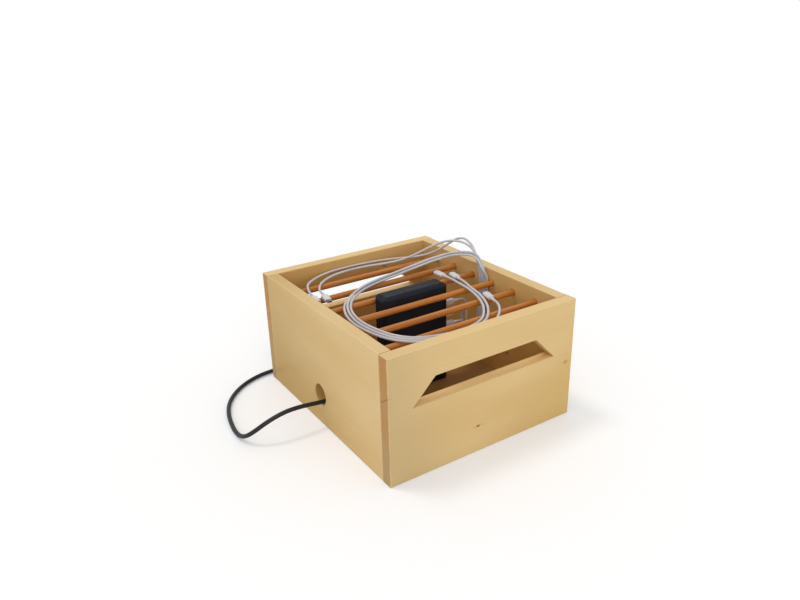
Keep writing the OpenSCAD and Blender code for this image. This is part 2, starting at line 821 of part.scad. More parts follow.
module mains_inlet() {
    floor_x = charger_left + nose_l + fit;
    color("#141416") {
        difference() {
            translate([charger_left, 0, mains_z])
                bar_x(inlet_depth)
                    rounded_rect(inlet_w, inlet_h, edge_r);
            translate([charger_left - eps, 0, mains_z])
                bar_x(nose_l + fit + eps)
                    nose_outline(fit);
        }
        translate([floor_x - blade.x, 0, mains_z])
            at_blades()
                translate([0, -blade.y / 2, -blade.z / 2])
                    cube(blade + [blade_root, 0, 0]);
    }
}

// Mains lead

// Tapered strain relief with ribs, along Z from its thick end
module strain_relief() {
    ribs = 6;
    neck = 0.8;
    step = relief_l / ribs;
    rotate_extrude()
        polygon(concat(
            [[0, 0]],
            [for (i = [0:ribs - 1]) let (r = (relief_d0 + (relief_d1 - relief_d0) * i / ribs) / 2)
                each [[r, i * step], [r, (i + 0.6) * step], [neck * r, (i + 0.7) * step],
                    [neck * r, (i + 1) * step]]],
            [[0, relief_l]]));
}

module mains_connector() {
    grip_w = inlet_w - 1;
    grip_h = inlet_h - 1;
    waist = 3;
    corner = 4;
    color(mains_colour)
        difference() {
            union() {
                translate([charger_left - eps, 0, mains_z])
                    bar_x(nose_l + eps)
                        nose_outline(0);
                intersection() {
                    translate([grip_end, 0, mains_z])
                        bar_x(grip_l)
                            rounded_rect(grip_w, grip_h, corner);
                    translate([0, grip_w, 0])
                        rotate([90, 0, 0])
                            linear_extrude(2 * grip_w)
                                polygon([[grip_start, mains_z - grip_h / 2],
                                    [grip_start, mains_z + grip_h / 2],
                                    [grip_start - grip_l / 3, mains_z + grip_h / 2],
                                    [grip_end, mains_z + grip_h / 2 - waist],
                                    [grip_end, mains_z - grip_h / 2 + waist],
                                    [grip_start - grip_l / 3, mains_z - grip_h / 2]]);
                }
                translate([grip_end, 0, mains_z])
                    rotate([0, -90, 0])
                        strain_relief();
            }
            translate([charger_left + nose_l - blade.x - fit, 0, mains_z])
                at_blades()
                    translate([0, -blade.y / 2 - fit, -blade.z / 2 - fit])
                        cube(blade + [eps + fit, 2 * fit, 2 * fit]);
        }
}

module mains_lead() {
    color(mains_colour) tube(smooth(mains_route, rings_between), mains_d);
}

module mains_coil() {
    color(mains_colour) tube(coil_path, mains_d);
}

module mains_lead_end() {
    color(mains_colour) tube(smooth(mains_end_route, rings_between), mains_d);
}

// Strap round all the turns on the far side of the coil
module coil_tie() {
    w = coil_outer_r - coil_r + mains_d + 2 * fit + 2 * tie_t;
    h = coil_step + mains_d + 2 * fit + 2 * tie_t;
    r = mains_d / 2;
    color("#202024")
        translate([coil_x, coil_y + (coil_outer_r + coil_r) / 2, h / 2])
            translate([-tie_w / 2, 0, 0])
                bar_x(tie_w)
                    difference() {
                        rounded_rect(w, h, r);
                        rounded_rect(w - 2 * tie_t, h - 2 * tie_t, r - tie_t);
                    }
}

// Round earthed plug, lying on its side with its pins towards +X
module mains_plug() {
    r = mains_plug_d / 2;
    l = mains_plug_l;
    rim = 14;
    notch = [10, 6, 10];
    color(mains_colour)
        translate(plug_rear)
            difference() {
                union() {
                    rotate([0, 90, 0])
                        translate([0, 0, relief_l])
                            mirror([0, 0, 1])
                                strain_relief();
                    translate([relief_l, 0, 0])
                        rotate([0, 90, 0])
                            rotate_extrude()
                                polygon([[0, 0], [mains_d, 0], [0.62 * r, 3], [0.72 * r, 12],
                                    [0.8 * r, l - rim - 5], [r - 1, l - rim - 2], [r, l - rim],
                                    [r, l - 2], [r - 2, l], [0, l]]);
                }
                for (y = [-1, 1])
                    translate([relief_l + l - notch.x / 2 + eps, y * r, 0])
                        cube(notch, center = true);
            }
}

module mains_plug_pins() {
    r = plug_pin_d / 2;
    nose = 1.5;
    color(metal_colour)
        for (z = [-1, 1])
            translate(plug_rear + [relief_l + mains_plug_l, 0, z * plug_pin_gap / 2])
                rotate([0, 90, 0])
                    rotate_extrude()
                        polygon([[0, 0], [r, 0], [r, plug_pin_l - nose], [r / 2, plug_pin_l],
                            [0, plug_pin_l]]);
}

// Charging leads

module lead(k) {
    color(lead_colour) tube(smooth(lead_route(k), rings_between), lead_d);
}

// Plug along +X from the end of its lead: tapered boot, flat body and metal tip
module plug() {
    rotate([0, 90, 0])
        cylinder(h = boot_l, d1 = lead_d + boot_lip, d2 = plug_t - boot_lip);
    translate([boot_l, 0, 0])
        bar_x(plug_l)
            stadium(plug_w, plug_t);
    translate([boot_l + plug_l, 0, 0])
        difference() {
            bar_x(tip_l)
                stadium(tip_w, tip_t);
            translate([tip_floor, 0, 0])
                bar_x(tip_l)
                    stadium(tip_w - 2 * tip_wall, tip_t - 2 * tip_wall);
        }
}

module charger_plug(k) {
    color(plug_colour)
        translate([lead_start_x, 0, port_height(lead_port[k - 1])])
            rotate([90, 0, 180])
                plug();
}

module laptop_plug(k) {
    route = lead_route(k);
    end = route[len(route) - 1];
    along = end - route[len(route) - 2];
    color(plug_colour)
        translate(end)
            rotate([0, 0, atan2(along.y, along.x)])
                plug();
}

front_panel();
back_panel();
left_side();
right_side();
floor_panel();
corner_pins();
for (i = [1:rail_count])
    rail(i);
charger_front_cover();
charger_rear_cover();
charger_screws();
circuit_board();
transformer();
capacitor();
usb_ports();
mains_inlet();
mains_connector();
mains_lead();
mains_coil();
mains_lead_end();
coil_tie();
mains_plug();
mains_plug_pins();
for (k = [1:lead_count]) {
    lead(k);
    charger_plug(k);
    laptop_plug(k);
}
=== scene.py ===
"""Looks of a laptop charging box: an open wooden box with round rails, a charger and its leads.

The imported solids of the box, the rails and the charger stay where they are and get their finishes
here. The leads are laid at their real length, and the plugs, screws and the tie are modelled.
Sizes are in metres, in the frame of the part: X to the right, Y to the back and Z up.
"""

import logging
import math
from collections.abc import Mapping, Sequence
from dataclasses import dataclass
from enum import Enum
from functools import cache
from typing import Any

import bmesh
import bpy
from mathutils import Matrix, Vector


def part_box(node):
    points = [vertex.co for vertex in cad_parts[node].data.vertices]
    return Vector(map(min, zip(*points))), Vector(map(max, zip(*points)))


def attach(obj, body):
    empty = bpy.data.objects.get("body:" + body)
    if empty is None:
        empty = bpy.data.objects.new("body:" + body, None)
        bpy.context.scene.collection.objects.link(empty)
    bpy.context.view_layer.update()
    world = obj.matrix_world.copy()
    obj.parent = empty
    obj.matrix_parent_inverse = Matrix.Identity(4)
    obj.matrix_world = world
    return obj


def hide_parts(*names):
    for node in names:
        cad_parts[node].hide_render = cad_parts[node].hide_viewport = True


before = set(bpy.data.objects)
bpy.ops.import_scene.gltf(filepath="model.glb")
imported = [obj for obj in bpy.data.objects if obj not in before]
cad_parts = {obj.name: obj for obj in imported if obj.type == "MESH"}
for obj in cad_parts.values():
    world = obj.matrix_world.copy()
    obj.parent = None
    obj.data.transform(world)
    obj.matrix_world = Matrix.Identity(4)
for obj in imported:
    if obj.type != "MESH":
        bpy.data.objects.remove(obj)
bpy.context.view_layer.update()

LOG = logging.getLogger("charging_box")
BODY = "root"
RAILS = 6
SAME_POINT = 1e-6
ARC_STEPS = 10
LEAD_STEPS = 5
EDGE_SAMPLES = 6
EDGE_TURN = (0.86, 0.995)
WHITE = (1.0, 1.0, 1.0, 1.0)

Point = tuple[float, float, float]
Colour = tuple[float, float, float, float]
Coat = tuple[Any, Any]
Ring = list[Vector]
Material = bpy.types.Material
Mesh = bmesh.types.BMesh
Piece = bpy.types.Object


class Axis(Enum):
    """A direction of the part's frame, as its unit vector."""

    X = (1.0, 0.0, 0.0)
    Y = (0.0, 1.0, 0.0)
    Z = (0.0, 0.0, 1.0)


class Ray(Enum):
    """Kinds of ray that see the pale surroundings instead of being lit by them."""

    CAMERA = "Is Camera Ray"
    GLOSSY = "Is Glossy Ray"
    TRANSMISSION = "Is Transmission Ray"


def screen(*values: int) -> Colour:
    """Linear colour of red, green and blue screen values from 0 to 255."""
    shares = [value / 255 for value in values]
    return (*(s / 12.92 if s <= 0.04045 else ((s + 0.055) / 1.055) ** 2.4 for s in shares), 1.0)


def ease(share: float) -> float:
    """A share from 0 to 1 that starts and ends gently."""
    held = min(1.0, max(0.0, share))
    return held * held * (3 - 2 * held)


@cache
def middle(node: str) -> Vector:
    """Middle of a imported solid's box."""
    low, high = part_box(node)
    return (low + high) / 2


@cache
def half(node: str) -> Vector:
    """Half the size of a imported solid's box."""
    low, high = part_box(node)
    return (high - low) / 2


def left_end(node: str) -> Point:
    """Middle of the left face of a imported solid's box."""
    return (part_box(node)[0].x, *middle(node)[1:])


def right_end(node: str) -> Point:
    """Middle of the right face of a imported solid's box."""
    return (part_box(node)[1].x, *middle(node)[1:])


class Shade:
    """A shader socket that takes part in Python expressions on values."""

    def __init__(self, graph: "Graph", socket: bpy.types.NodeSocket) -> None:
        """Wraps a socket of a graph."""
        self.graph = graph
        self.socket = socket

    def maths(self, operation: str, *terms: Any) -> "Shade":
        """A Math node of that operation on these terms."""
        return self.graph.add("ShaderNodeMath", {"operation": operation}, dict(enumerate(terms)))

    def __add__(self, other: Any) -> "Shade":
        """Sum."""
        return self.maths("ADD", self, other)

    def __sub__(self, other: Any) -> "Shade":
        """Difference."""
        return self.maths("SUBTRACT", self, other)

    def __rsub__(self, other: Any) -> "Shade":
        """Difference with a number on the left."""
        return self.maths("SUBTRACT", other, self)

    def __mul__(self, other: Any) -> "Shade":
        """Product."""
        return self.maths("MULTIPLY", self, other)

    def __truediv__(self, other: Any) -> "Shade":
        """Quotient."""
        return self.maths("DIVIDE", self, other)

    def __rtruediv__(self, other: Any) -> "Shade":
        """Quotient with a number on the left."""
        return self.maths("DIVIDE", other, self)

    def __pow__(self, other: Any) -> "Shade":
        """Power."""
        return self.maths("POWER", self, other)

    def __abs__(self) -> "Shade":
        """Size without sign."""
        return self.maths("ABSOLUTE", self)

    __radd__ = __add__
    __rmul__ = __mul__

    def least(self, other: Any) -> "Shade":
        """The smaller of two values."""
        return self.maths("MINIMUM", self, other)

    def most(self, other: Any) -> "Shade":
        """The larger of two values."""
        return self.maths("MAXIMUM", self, other)

    def wave(self) -> "Shade":
        """Sine of an angle, moved to run from 0 to 1."""
        return self.maths("SINE", self) * 0.5 + 0.5

    def fraction(self) -> "Shade":
        """What is left above the next lower whole number."""
        return self.maths("FRACT", self)

    def rise(self, low: float, high: float) -> "Shade":
        """Smooth step from 0 at the low value to 1 at the high value."""
        settings = {"interpolation_type": "SMOOTHSTEP"}
        return self.graph.add("ShaderNodeMapRange", settings, {0: self, 1: low, 2: high})

    def fall(self, low: float, high: float) -> "Shade":
        """Smooth step from 1 at the low value to 0 at the high value."""
        return 1 - self.rise(low, high)

    def other(self, output: str) -> "Shade":
        """Another output of the same node."""
        return Shade(self.graph, self.socket.node.outputs[output])


class Graph:
    """The node tree of a material or of the world."""

    def __init__(self, tree: bpy.types.NodeTree) -> None:
        """Empties a node tree and takes it over."""
        self.tree = tree
        tree.nodes.clear()

    def add(self, kind: str, settings: Mapping[str, Any] | None = None,
            sockets: Mapping[Any, Any] | None = None, output: int | str = 0) -> Shade | None:
        """Adds a node.

        Args:
            kind: The node's type.
            settings: Its own settings, which are set first.
            sockets: Values or links of its inputs, by name or number.
            output: The output to return.

        Returns:
            That output of the new node, unless it has none.
        """
        node = self.tree.nodes.new(kind)
        for key, value in (settings or {}).items():
            setattr(node, key, value)
        for key, value in (sockets or {}).items():
            if isinstance(value, Shade):
                self.tree.links.new(value.socket, node.inputs[key])
            else:
                node.inputs[key].default_value = value
        return Shade(self, node.outputs[output]) if len(node.outputs) else None

    def place(self) -> Shade:
        """The place on the part, in metres."""
        return self.add("ShaderNodeTexCoord", output="Object")

    def where(self) -> tuple[Shade, Shade, Shade]:
        """The three coordinates of the place on the part."""
        x = self.add("ShaderNodeSeparateXYZ", sockets={0: self.place()})
        return x, x.other("Y"), x.other("Z")

    def join(self, x: Any, y: Any, z: Any) -> Shade:
        """A vector of three values."""
        return self.add("ShaderNodeCombineXYZ", sockets={0: x, 1: y, 2: z})

    def noise(self, per_metre: Point | float, detail: float = 2.0, rough: float = 0.5,
              vector: Shade | None = None) -> Shade:
        """Soft noise, stretched along the axes.

        Args:
            per_metre: Spots per metre, as one number or as one for each axis.
            detail: Finer layers in it.
            rough: Weight of the finer layers.
            vector: Where to look it up, if not at the place on the part.

        Returns:
            A value of about 0.2 to 0.8.
        """
        scale = per_metre if isinstance(per_metre, tuple) else (per_metre,) * 3
        scaled = self.add("ShaderNodeVectorMath", {"operation": "MULTIPLY"},
                          {0: vector or self.place(), 1: scale})
        return self.add("ShaderNodeTexNoise", None,
                        {"Vector": scaled, "Scale": 1.0, "Detail": detail, "Roughness": rough})

    def mix(self, share: Any, first: Any, second: Any) -> Shade:
        """A colour between two colours."""
        return self.add("ShaderNodeMix", {"data_type": "RGBA"}, {0: share, 6: first, 7: second}, output=2)

    def coats(self, colour: Any, *coats: Coat) -> Any:
        """Lays coats of other colours over a colour.

        Args:
            colour: The colour below.
            coats: The mask and the colour of each coat, in order.

        Returns:
            The colour with its coats.
        """
        for mask, coat in coats:
            colour = self.mix(mask, colour, coat)
        return colour

    def agree(self, vector: Any) -> Shade:
        """How far the surface's direction agrees with a vector, from -1 to 1."""
        terms = {0: self.add("ShaderNodeNewGeometry", output="Normal"), 1: vector}
        return self.add("ShaderNodeVectorMath", {"operation": "DOT_PRODUCT"}, terms, output="Value")

    def facing(self, axis: Axis) -> Shade:
        """How squarely a surface faces along an axis, either way, from 0 to 1."""
        return abs(self.agree(axis.value))

    def rounded(self, radius: float) -> Shade:
        """Surface direction with the edges rounded to a radius."""
        return self.add("ShaderNodeBevel", {"samples": EDGE_SAMPLES}, {"Radius": radius})

    def edges(self, radius: float) -> Shade:
        """Mask of the edges, 1 where a rounded edge turns away from its faces."""
        return self.agree(self.rounded(radius)).fall(*EDGE_TURN)

    def bump(self, height: Shade, depth: float, radius: float) -> Shade:
        """Surface direction of a relief of that depth on edges of that radius."""
        return self.add("ShaderNodeBump", None, {"Strength": 1.0, "Distance": depth, "Height": height,
                                                 "Normal": self.rounded(radius)})

    def surface(self, colour: Any, rough: Any, **others: Any) -> Shade:
        """A Principled shader, with underscores for the spaces in its other sockets' names."""
        named = {key.replace("_", " "): value for key, value in others.items()}
        return self.add("ShaderNodeBsdfPrincipled", None, {"Base Color": colour, "Roughness": rough, **named})

    def seen_as(self, lit: Shade, seen: Shade) -> Shade:
        """A shader that looks different where it is seen directly.

        Args:
            lit: The shader for the light that it gives to the rest.
            seen: The shader for camera, glossy and transmission rays.

        Returns:
            The two together.
        """
        path = self.add("ShaderNodeLightPath", output=Ray.CAMERA.value)
        direct = path.most(path.other(Ray.GLOSSY.value)).most(path.other(Ray.TRANSMISSION.value))
        return self.add("ShaderNodeMixShader", None, {0: direct, 1: lit, 2: seen})

    def close(self, shader: Shade, kind: str = "ShaderNodeOutputMaterial") -> None:
        """Ends the tree with this shader."""
        self.add(kind, None, {"Surface": shader})


@dataclass(frozen=True)
class Finish:
    """A finish with a material of its own name."""

    name: str

    def paint(self, graph: Graph) -> Shade:
        """The shader of the finish, made in a graph."""
        raise NotImplementedError

    @cache
    def material(self) -> Material:
        """Makes the material, once.

        Returns:
            The material.
        """
        material = bpy.data.materials.new(self.name)
        material.use_nodes = True
        graph = Graph(material.node_tree)
        graph.close(self.paint(graph))
        return material


@dataclass(frozen=True)
class Knot:
    """A small knot: its place along the grain and up, radius, strength, tone and slope to the front."""

    along: float
    up: float
    radius: float
    strength: float
    tone: Colour = screen(112, 84, 46)
    slope: float = 0.0


@dataclass(frozen=True)
class ShadeDrift:
    """Painted shade on a board: a slow change of its tone where light falls off, with its weights along the
    grain and up, where it starts and ends.
    """

    along: float
    up: float
    start: float
    full: float
    tone: Colour
    strength: float


@dataclass(frozen=True)
class Grain:
    """Growth rings and fibres of a piece of wood, round a heart that lies through the piece and up."""

    axis: Axis
    heart: tuple[float, float]
    seed: float
    ring: float = 0.0065

    def order(self, x: Any, y: Any, z: Any) -> tuple[Any, Any, Any]:
        """Values along the grain, through the piece and up."""
        return (x, y, z) if self.axis is Axis.X else (y, x, z)

    def fields(self, graph: Graph) -> tuple[Shade, Shade, Shade, Shade]:
        """Draws the grain.

        Args:
            graph: The graph of the wood's material.

        Returns:
            Late wood of the rings, clouds, fibres and pores, each from 0 to 1.
        """
        along, through, up = self.order(*graph.where())
        place = graph.join(along + self.seed, through, up + self.seed)
        warp = graph.noise((5, 18, 18), 3, vector=place) - 0.5
        radius = ((through - self.heart[0]) ** 2 + (up - self.heart[1]) ** 2) ** 0.5
        late = ((radius + warp * 0.012) * (2 * math.pi / self.ring)).wave() ** 3
        clouds = graph.noise((3.6, 11, 11), 3, 0.45, place).rise(0.30, 0.72)
        fibres = graph.noise((16, 620, 620), 4, 0.6, place).rise(0.36, 0.70)
        pores = graph.noise((110, 2300, 2300), vector=place).rise(0.64, 0.74)
        return late, clouds, fibres, pores


@dataclass(frozen=True)
class BoardWood(Finish):
    """Pale, fine-grained solid wood with a satin oil, for one board of the box."""

    node: str
    grain: Grain
    knots: tuple[Knot, ...] = ()
    shade_drifts: tuple[ShadeDrift, ...] = ()
    pale: Colour = screen(222, 192, 136)
    amber: Colour = screen(213, 179, 118)
    late_tone: Colour = screen(198, 156, 94)
    fibre_tone: Colour = screen(194, 158, 100)
    pore_tone: Colour = screen(164, 122, 70)
    end_pale: Colour = screen(176, 147, 98)
    end_blush: Colour = screen(184, 132, 70)
    end_dark: Colour = screen(152, 110, 64)
    # Painted shade: the inner faces darker and more orange, like the bounce light inside the box.
    inner_shade_tone: Colour = screen(213, 160, 86)
    # Painted light on the faces that look up.
    upward_light: Colour = screen(243, 205, 140)
    bore_tone: Colour = screen(186, 144, 76)
    # Edge colour: partly wear, partly painted highlight.
    rubbed_and_lit_edge: Colour = screen(226, 199, 146)
    # Dark joints, and partly painted shade round the rails.
    joint_and_shade_tone: Colour = screen(146, 104, 60)

    def local(self, graph: Graph) -> tuple[Shade, Shade, Shade]:
        """Place from the board's middle: along the grain, through the board and up."""
        return self.grain.order(*(p - c for p, c in zip(graph.where(), middle(self.node))))

    def reach(self) -> Point:
        """Half the board's size: along the grain, through the board and up."""
        return self.grain.order(*half(self.node))

    def inside(self, graph: Graph) -> list[Shade]:
        """Depth below the board's faces: along the grain, through the board and up."""
        return [h - abs(p) for p, h in zip(self.local(graph), self.reach())]

    def inner(self, graph: Graph, full: float, gone: float) -> Shade:
        """Mask of the face towards the inside of the box, between two depths below it."""
        outward = math.copysign(1.0, self.grain.order(*middle(self.node))[1])
        return (self.local(graph)[1] * outward + self.reach()[1]).fall(full, gone)

    def paint(self, graph: Graph) -> Shade:
        """The board's shader.

        Args:
            graph: Its material's graph.

        Returns:
            The shader.
        """
        late, clouds, fibres, pores = self.grain.fields(graph)
        up, high = self.local(graph)[2], self.reach()[2]
        # Painted shade on the inner face, deeper below the rim.
        painted_inner_shade = self.inner(graph, 0.0002, 0.0012) * (up.fall(high - 0.06, high - 0.01) * 0.45 + 0.55)
        blush = (graph.noise((60, 60, 24), 3) * 1.6 + up * (0.7 / high)).rise(0.3, 1.3)
        end_colour = graph.coats(self.end_pale, (blush, self.end_blush),
                                 (late * 0.16 + pores * 0.2, self.end_dark))
        end = graph.facing(self.grain.axis).rise(0.62, 0.9)
        # Edges lighter partly from wear, partly as painted highlight; dark joints across the ends.
        wear_and_highlight, joint = self.edge_masks(graph, end)
        # Painted shade: slow darkening across the board where the light falls off.
        shade_drifts = ((self.shade_drift_mask(graph, shade_drift) * shade_drift.strength, shade_drift.tone) for shade_drift in self.shade_drifts)
        colour = graph.coats(
            self.pale, (clouds, self.amber), *shade_drifts, (painted_inner_shade * 0.9, self.inner_shade_tone),
            (late * 0.05, self.late_tone), (fibres * 0.08, self.fibre_tone), (pores * 0.12, self.pore_tone),
            (end, end_colour), self.upward_light_and_bore_coat(graph), *self.knot_coats(graph),
            (wear_and_highlight * 0.55, self.rubbed_and_lit_edge), (joint * 0.1, self.joint_and_shade_tone))
        if self.grain.axis is Axis.Y:
            # Darkened rim round each rail: partly finish residue, partly painted contact shade.
            colour = graph.mix(self.rail_rim_residue_and_shade(graph) * 0.7, colour, self.joint_and_shade_tone)
        return graph.surface(
            colour, 0.46 + fibres * 0.1 + end * 0.12 - wear_and_highlight * 0.08,
            Specular_IOR_Level=0.3, Coat_Weight=0.03, Coat_Roughness=0.35,
            Normal=graph.bump(fibres * 0.5 - pores - late * 0.25, 0.00005, 0.0008))

    def shade_drift_mask(self, graph: Graph, shade_drift: ShadeDrift) -> Shade:
        """Mask of a painted slow fall-off of light across the board."""
        (along, _, up), (long, _, high) = self.local(graph), self.reach()
        return (along * (shade_drift.along / long) + up * (shade_drift.up / high)).rise(shade_drift.start, shade_drift.full)

    def upward_light_and_bore_coat(self, graph: Graph) -> Coat:
        """Coat of painted light on the faces that look up, strongest on the slot's ledge and fainter on the
        rim, or of the cable hole's bore.

        Args:
            graph: The graph of the board's material.

        Returns:
            The coat.
        """
        along, _, up = self.inside(graph)
        cut = along.rise(0.004, 0.008) * up.rise(0.004, 0.008)
        if self.grain.axis is Axis.Y:
            return cut * graph.facing(Axis.X).fall(0.3, 0.6) * 0.8, self.bore_tone
        # Painted light: faces that look up are lighter, most of all the slot's ledge.
        return graph.agree(Axis.Z.value).rise(0.6, 0.9) * (cut * 0.7 + 0.3), self.upward_light

    def knot_coats(self, graph: Graph) -> list[Coat]:
        """Coats of the board's knots, each with a faint streak along the grain.

        Args:
            graph: The graph of the board's material.

        Returns:
            The coats.
        """
        along, through, up = self.local(graph)
        ragged = graph.noise((160, 160, 420), 3) - 0.5
        coats = []
        for knot in self.knots:
            run = (along - knot.along) / knot.radius
            rise = (up - (knot.up - middle(self.node).z) + through * knot.slope) / knot.radius
            core = ((run * 0.62) ** 2 + rise ** 2) ** 0.5 + ragged * 1.2
            streak = ((run * 0.15) ** 2 + (rise * 0.9) ** 2) ** 0.5 + ragged * 0.9
            mask = core.fall(0.5, 1.3) * knot.strength + streak.fall(0.3, 1.25) * (0.2 * knot.strength)
            coats.append((mask.least(1.0), knot.tone))
        return coats

    def edge_masks(self, graph: Graph, end: Shade) -> tuple[Shade, Shade]:
        """Masks of the edges, lighter partly from wear and partly as painted highlight, and of the glued
        joints across the board's ends.

        Args:
            graph: The graph of the board's material.
            end: Mask of the end grain.

        Returns:
            Wear with painted highlight, and joint, from 0 to 1.
        """
        along, through, up = self.inside(graph)
        edge = along.most(through).least(through.most(up)).least(along.most(up))
        wear_and_highlight = (edge + graph.noise(90, 3) * 0.003).fall(0.0012, 0.0036)
        if self.grain.axis is Axis.X:
            return wear_and_highlight, through.fall(0.0001, 0.0007) * end
        return wear_and_highlight, along.fall(0.0001, 0.0006) * (1 - end)

    def rail_rim_residue_and_shade(self, graph: Graph) -> Shade:
        """Mask of the darkened rim round each rail on the inner face, partly finish residue and partly
        painted contact shade.

        Args:
            graph: The graph of the board's material.

        Returns:
            The mask.
        """
        first, last, radius = middle("rail_1"), middle(f"rail_{RAILS}"), half("rail_1").z
        pitch = (last.y - first.y) / (RAILS - 1)
        along, _, up = self.local(graph)
        aside = ((along / pitch).fraction() - 0.5) * pitch
        away = (aside ** 2 + (up - (first.z - middle(self.node).z)) ** 2) ** 0.5
        rim = (away + (graph.noise(220) - 0.5) * 0.0012).fall(radius, radius + 0.0014)
        return rim * self.inner(graph, 0.0, 0.003)


@dataclass(frozen=True)
class TurnedWood(Finish):
    """Orange-brown turned wood with a light polish, along X."""

    seed: float
    light: Colour = screen(203, 130, 55)
    deep: Colour = screen(174, 101, 36)
    late_tone: Colour = screen(142, 80, 28)
    pore_tone: Colour = screen(112, 62, 24)

    def paint(self, graph: Graph) -> Shade:
        """The rail's shader.

        Args:
            graph: Its material's graph.

        Returns:
            The shader.
        """
        late, clouds, fibres, pores = Grain(Axis.X, (0.02, 0.16), self.seed, 0.0026).fields(graph)
        streaks = graph.noise((9, 260, 260), 3).rise(0.38, 0.66)
        end = graph.facing(Axis.X).rise(0.6, 0.9)
        colour = graph.coats(
            self.light, (clouds * 0.45 + streaks * 0.5, self.deep), (late * 0.2, self.late_tone),
            (pores * 0.35, self.pore_tone), (end * 0.6, self.late_tone))
        return graph.surface(
            colour, 0.38 + fibres * 0.12 + pores * 0.1,
            Specular_IOR_Level=0.3, Coat_Weight=0.05, Coat_Roughness=0.25,
            Normal=graph.bump(fibres * 0.5 - pores, 0.00005, 0.0004))


@dataclass(frozen=True)
class SandedPly(Finish):
    """Sanded plywood, darkened as painted shade inside the box: a straight-grained face, and plies along its
    edges.
    """

    node: str
    plies: int = 5
    # Painted shade: colours darkened for the shade inside the box.
    pale: Colour = screen(166, 123, 69)
    deep: Colour = screen(149, 104, 54)
    glue: Colour = screen(134, 93, 54)

    def paint(self, graph: Graph) -> Shade:
        """The panel's shader.

        Args:
            graph: Its material's graph.

        Returns:
            The shader.
        """
        late, clouds, fibres, pores = Grain(Axis.X, (0.0, -0.3), 4.3, 0.006).fields(graph)
        low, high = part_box(self.node)
        layer = ((graph.where()[2] - low.z) * (self.plies / (high.z - low.z))).fraction()
        glue_line = layer.fall(0.02, 0.1) * (1 - graph.facing(Axis.Z).rise(0.5, 0.8))
        colour = graph.coats(self.pale, (clouds * 0.6 + fibres * 0.25, self.deep),
                             (late * 0.2 + pores * 0.2, self.glue), (glue_line * 0.8, self.glue))
        return graph.surface(colour, 0.56 + fibres * 0.12,
                             Normal=graph.bump(fibres * 0.5 - pores, 0.00005, 0.0005))


@dataclass(frozen=True)
class MouldedPlastic(Finish):
    """Moulded plastic or rubber with a fine grit, handling marks, and edges lighter partly from wear and
    partly as painted highlight.
    """

    base: Colour
    dull: Colour
    rubbed_and_lit_edge: Colour
    roughness: float
    grit: float = 2400.0
    depth: float = 0.00002
    edge: float = 0.0007
    softness: float = 0.0007
    shine: float = 0.5
    seam: bool = False
    seam_tone: Colour = (0.004, 0.004, 0.005, 1.0)

    def paint(self, graph: Graph) -> Shade:
        """The plastic's shader.

        Args:
            graph: Its material's graph.

        Returns:
            The shader.
        """
        cloud = graph.noise(38, 4, 0.6).rise(0.36, 0.68)
        grit = graph.noise(self.grit)
        smear = graph.noise((22, 160, 70), 3).rise(0.5, 0.72)
        # Edges lighter: partly wear, partly painted highlight.
        worn = graph.edges(self.edge) * graph.noise(240, 3).rise(0.38, 0.6)
        colour = graph.coats(self.base, (cloud * 0.7, self.dull), (worn * 0.55, self.rubbed_and_lit_edge))
        height = grit
        if self.seam:
            line = abs(graph.where()[1]).fall(0.0001, 0.0004)
            colour = graph.mix(line * 0.8, colour, self.seam_tone)
            height = grit - line * 6
        rough = self.roughness + (grit - 0.5) * 0.14 + cloud * 0.06 - smear * 0.09 - worn * 0.06
        return graph.surface(colour, rough, Specular_IOR_Level=self.shine,
                             Normal=graph.bump(height, self.depth, self.softness))


@dataclass(frozen=True)
class CableJacket(Finish):
    """Soft extruded jacket of a lead, with faint grime and a satin surface."""

    base: Colour
    grime: Colour
    roughness: float
    shine: float = 0.5

    def paint(self, graph: Graph) -> Shade:
        """The jacket's shader.

        Args:
            graph: Its material's graph.

        Returns:
            The shader.
        """
        smudge = graph.noise(34, 4, 0.62).rise(0.46, 0.74)
        speck = graph.noise(900).rise(0.68, 0.78)
        skin = graph.noise(2600)
        colour = graph.mix(smudge * 0.6 + speck * 0.35, self.base, self.grime)
        return graph.surface(colour, self.roughness + smudge * 0.1 + (skin - 0.5) * 0.1,
                             Specular_IOR_Level=self.shine, Normal=graph.bump(skin, 0.000012, 0.0003))


@dataclass(frozen=True)
class PlatedMetal(Finish):
    """Plated metal, brushed along one axis, with dull spots."""

    base: Colour = screen(196, 198, 202)
    dull: Colour = screen(140, 141, 145)
    brush: Point = (60, 1800, 1800)
    roughness: float = 0.28

    def paint(self, graph: Graph) -> Shade:
        """The metal's shader.

        Args:
            graph: Its material's graph.

        Returns:
            The shader.
        """
        strokes = graph.noise(self.brush, 3)
        spots = graph.noise(300, 4).rise(0.5, 0.72)
        colour = graph.mix(spots * 0.6 + strokes * 0.2, self.base, self.dull)
        return graph.surface(colour, self.roughness + strokes * 0.12 + spots * 0.12, Metallic=1.0,
                             Normal=graph.bump(strokes, 0.00001, 0.0002))


@dataclass(frozen=True)
class WovenStrap(Finish):
    """Black woven strap: crossing threads with a little lint."""

    thread: float = 0.0009
    base: Colour = screen(34, 34, 37)
    worn: Colour = screen(66, 66, 70)

    def paint(self, graph: Graph) -> Shade:
        """The strap's shader.

        Args:
            graph: Its material's graph.

        Returns:
            The shader.
        """
        x, y, z = graph.where()
        turn = 2 * math.pi / self.thread
        weave = (x * turn).wave() * ((y + z) * turn).wave()
        lint = graph.noise(700, 3).rise(0.58, 0.7)
        colour = graph.mix(weave * 0.6 + lint * 0.5, self.base, self.worn)
        return graph.surface(colour, 0.78 + lint * 0.1, Sheen_Weight=0.2,
                             Normal=graph.bump(weave, 0.00012, 0.0002))


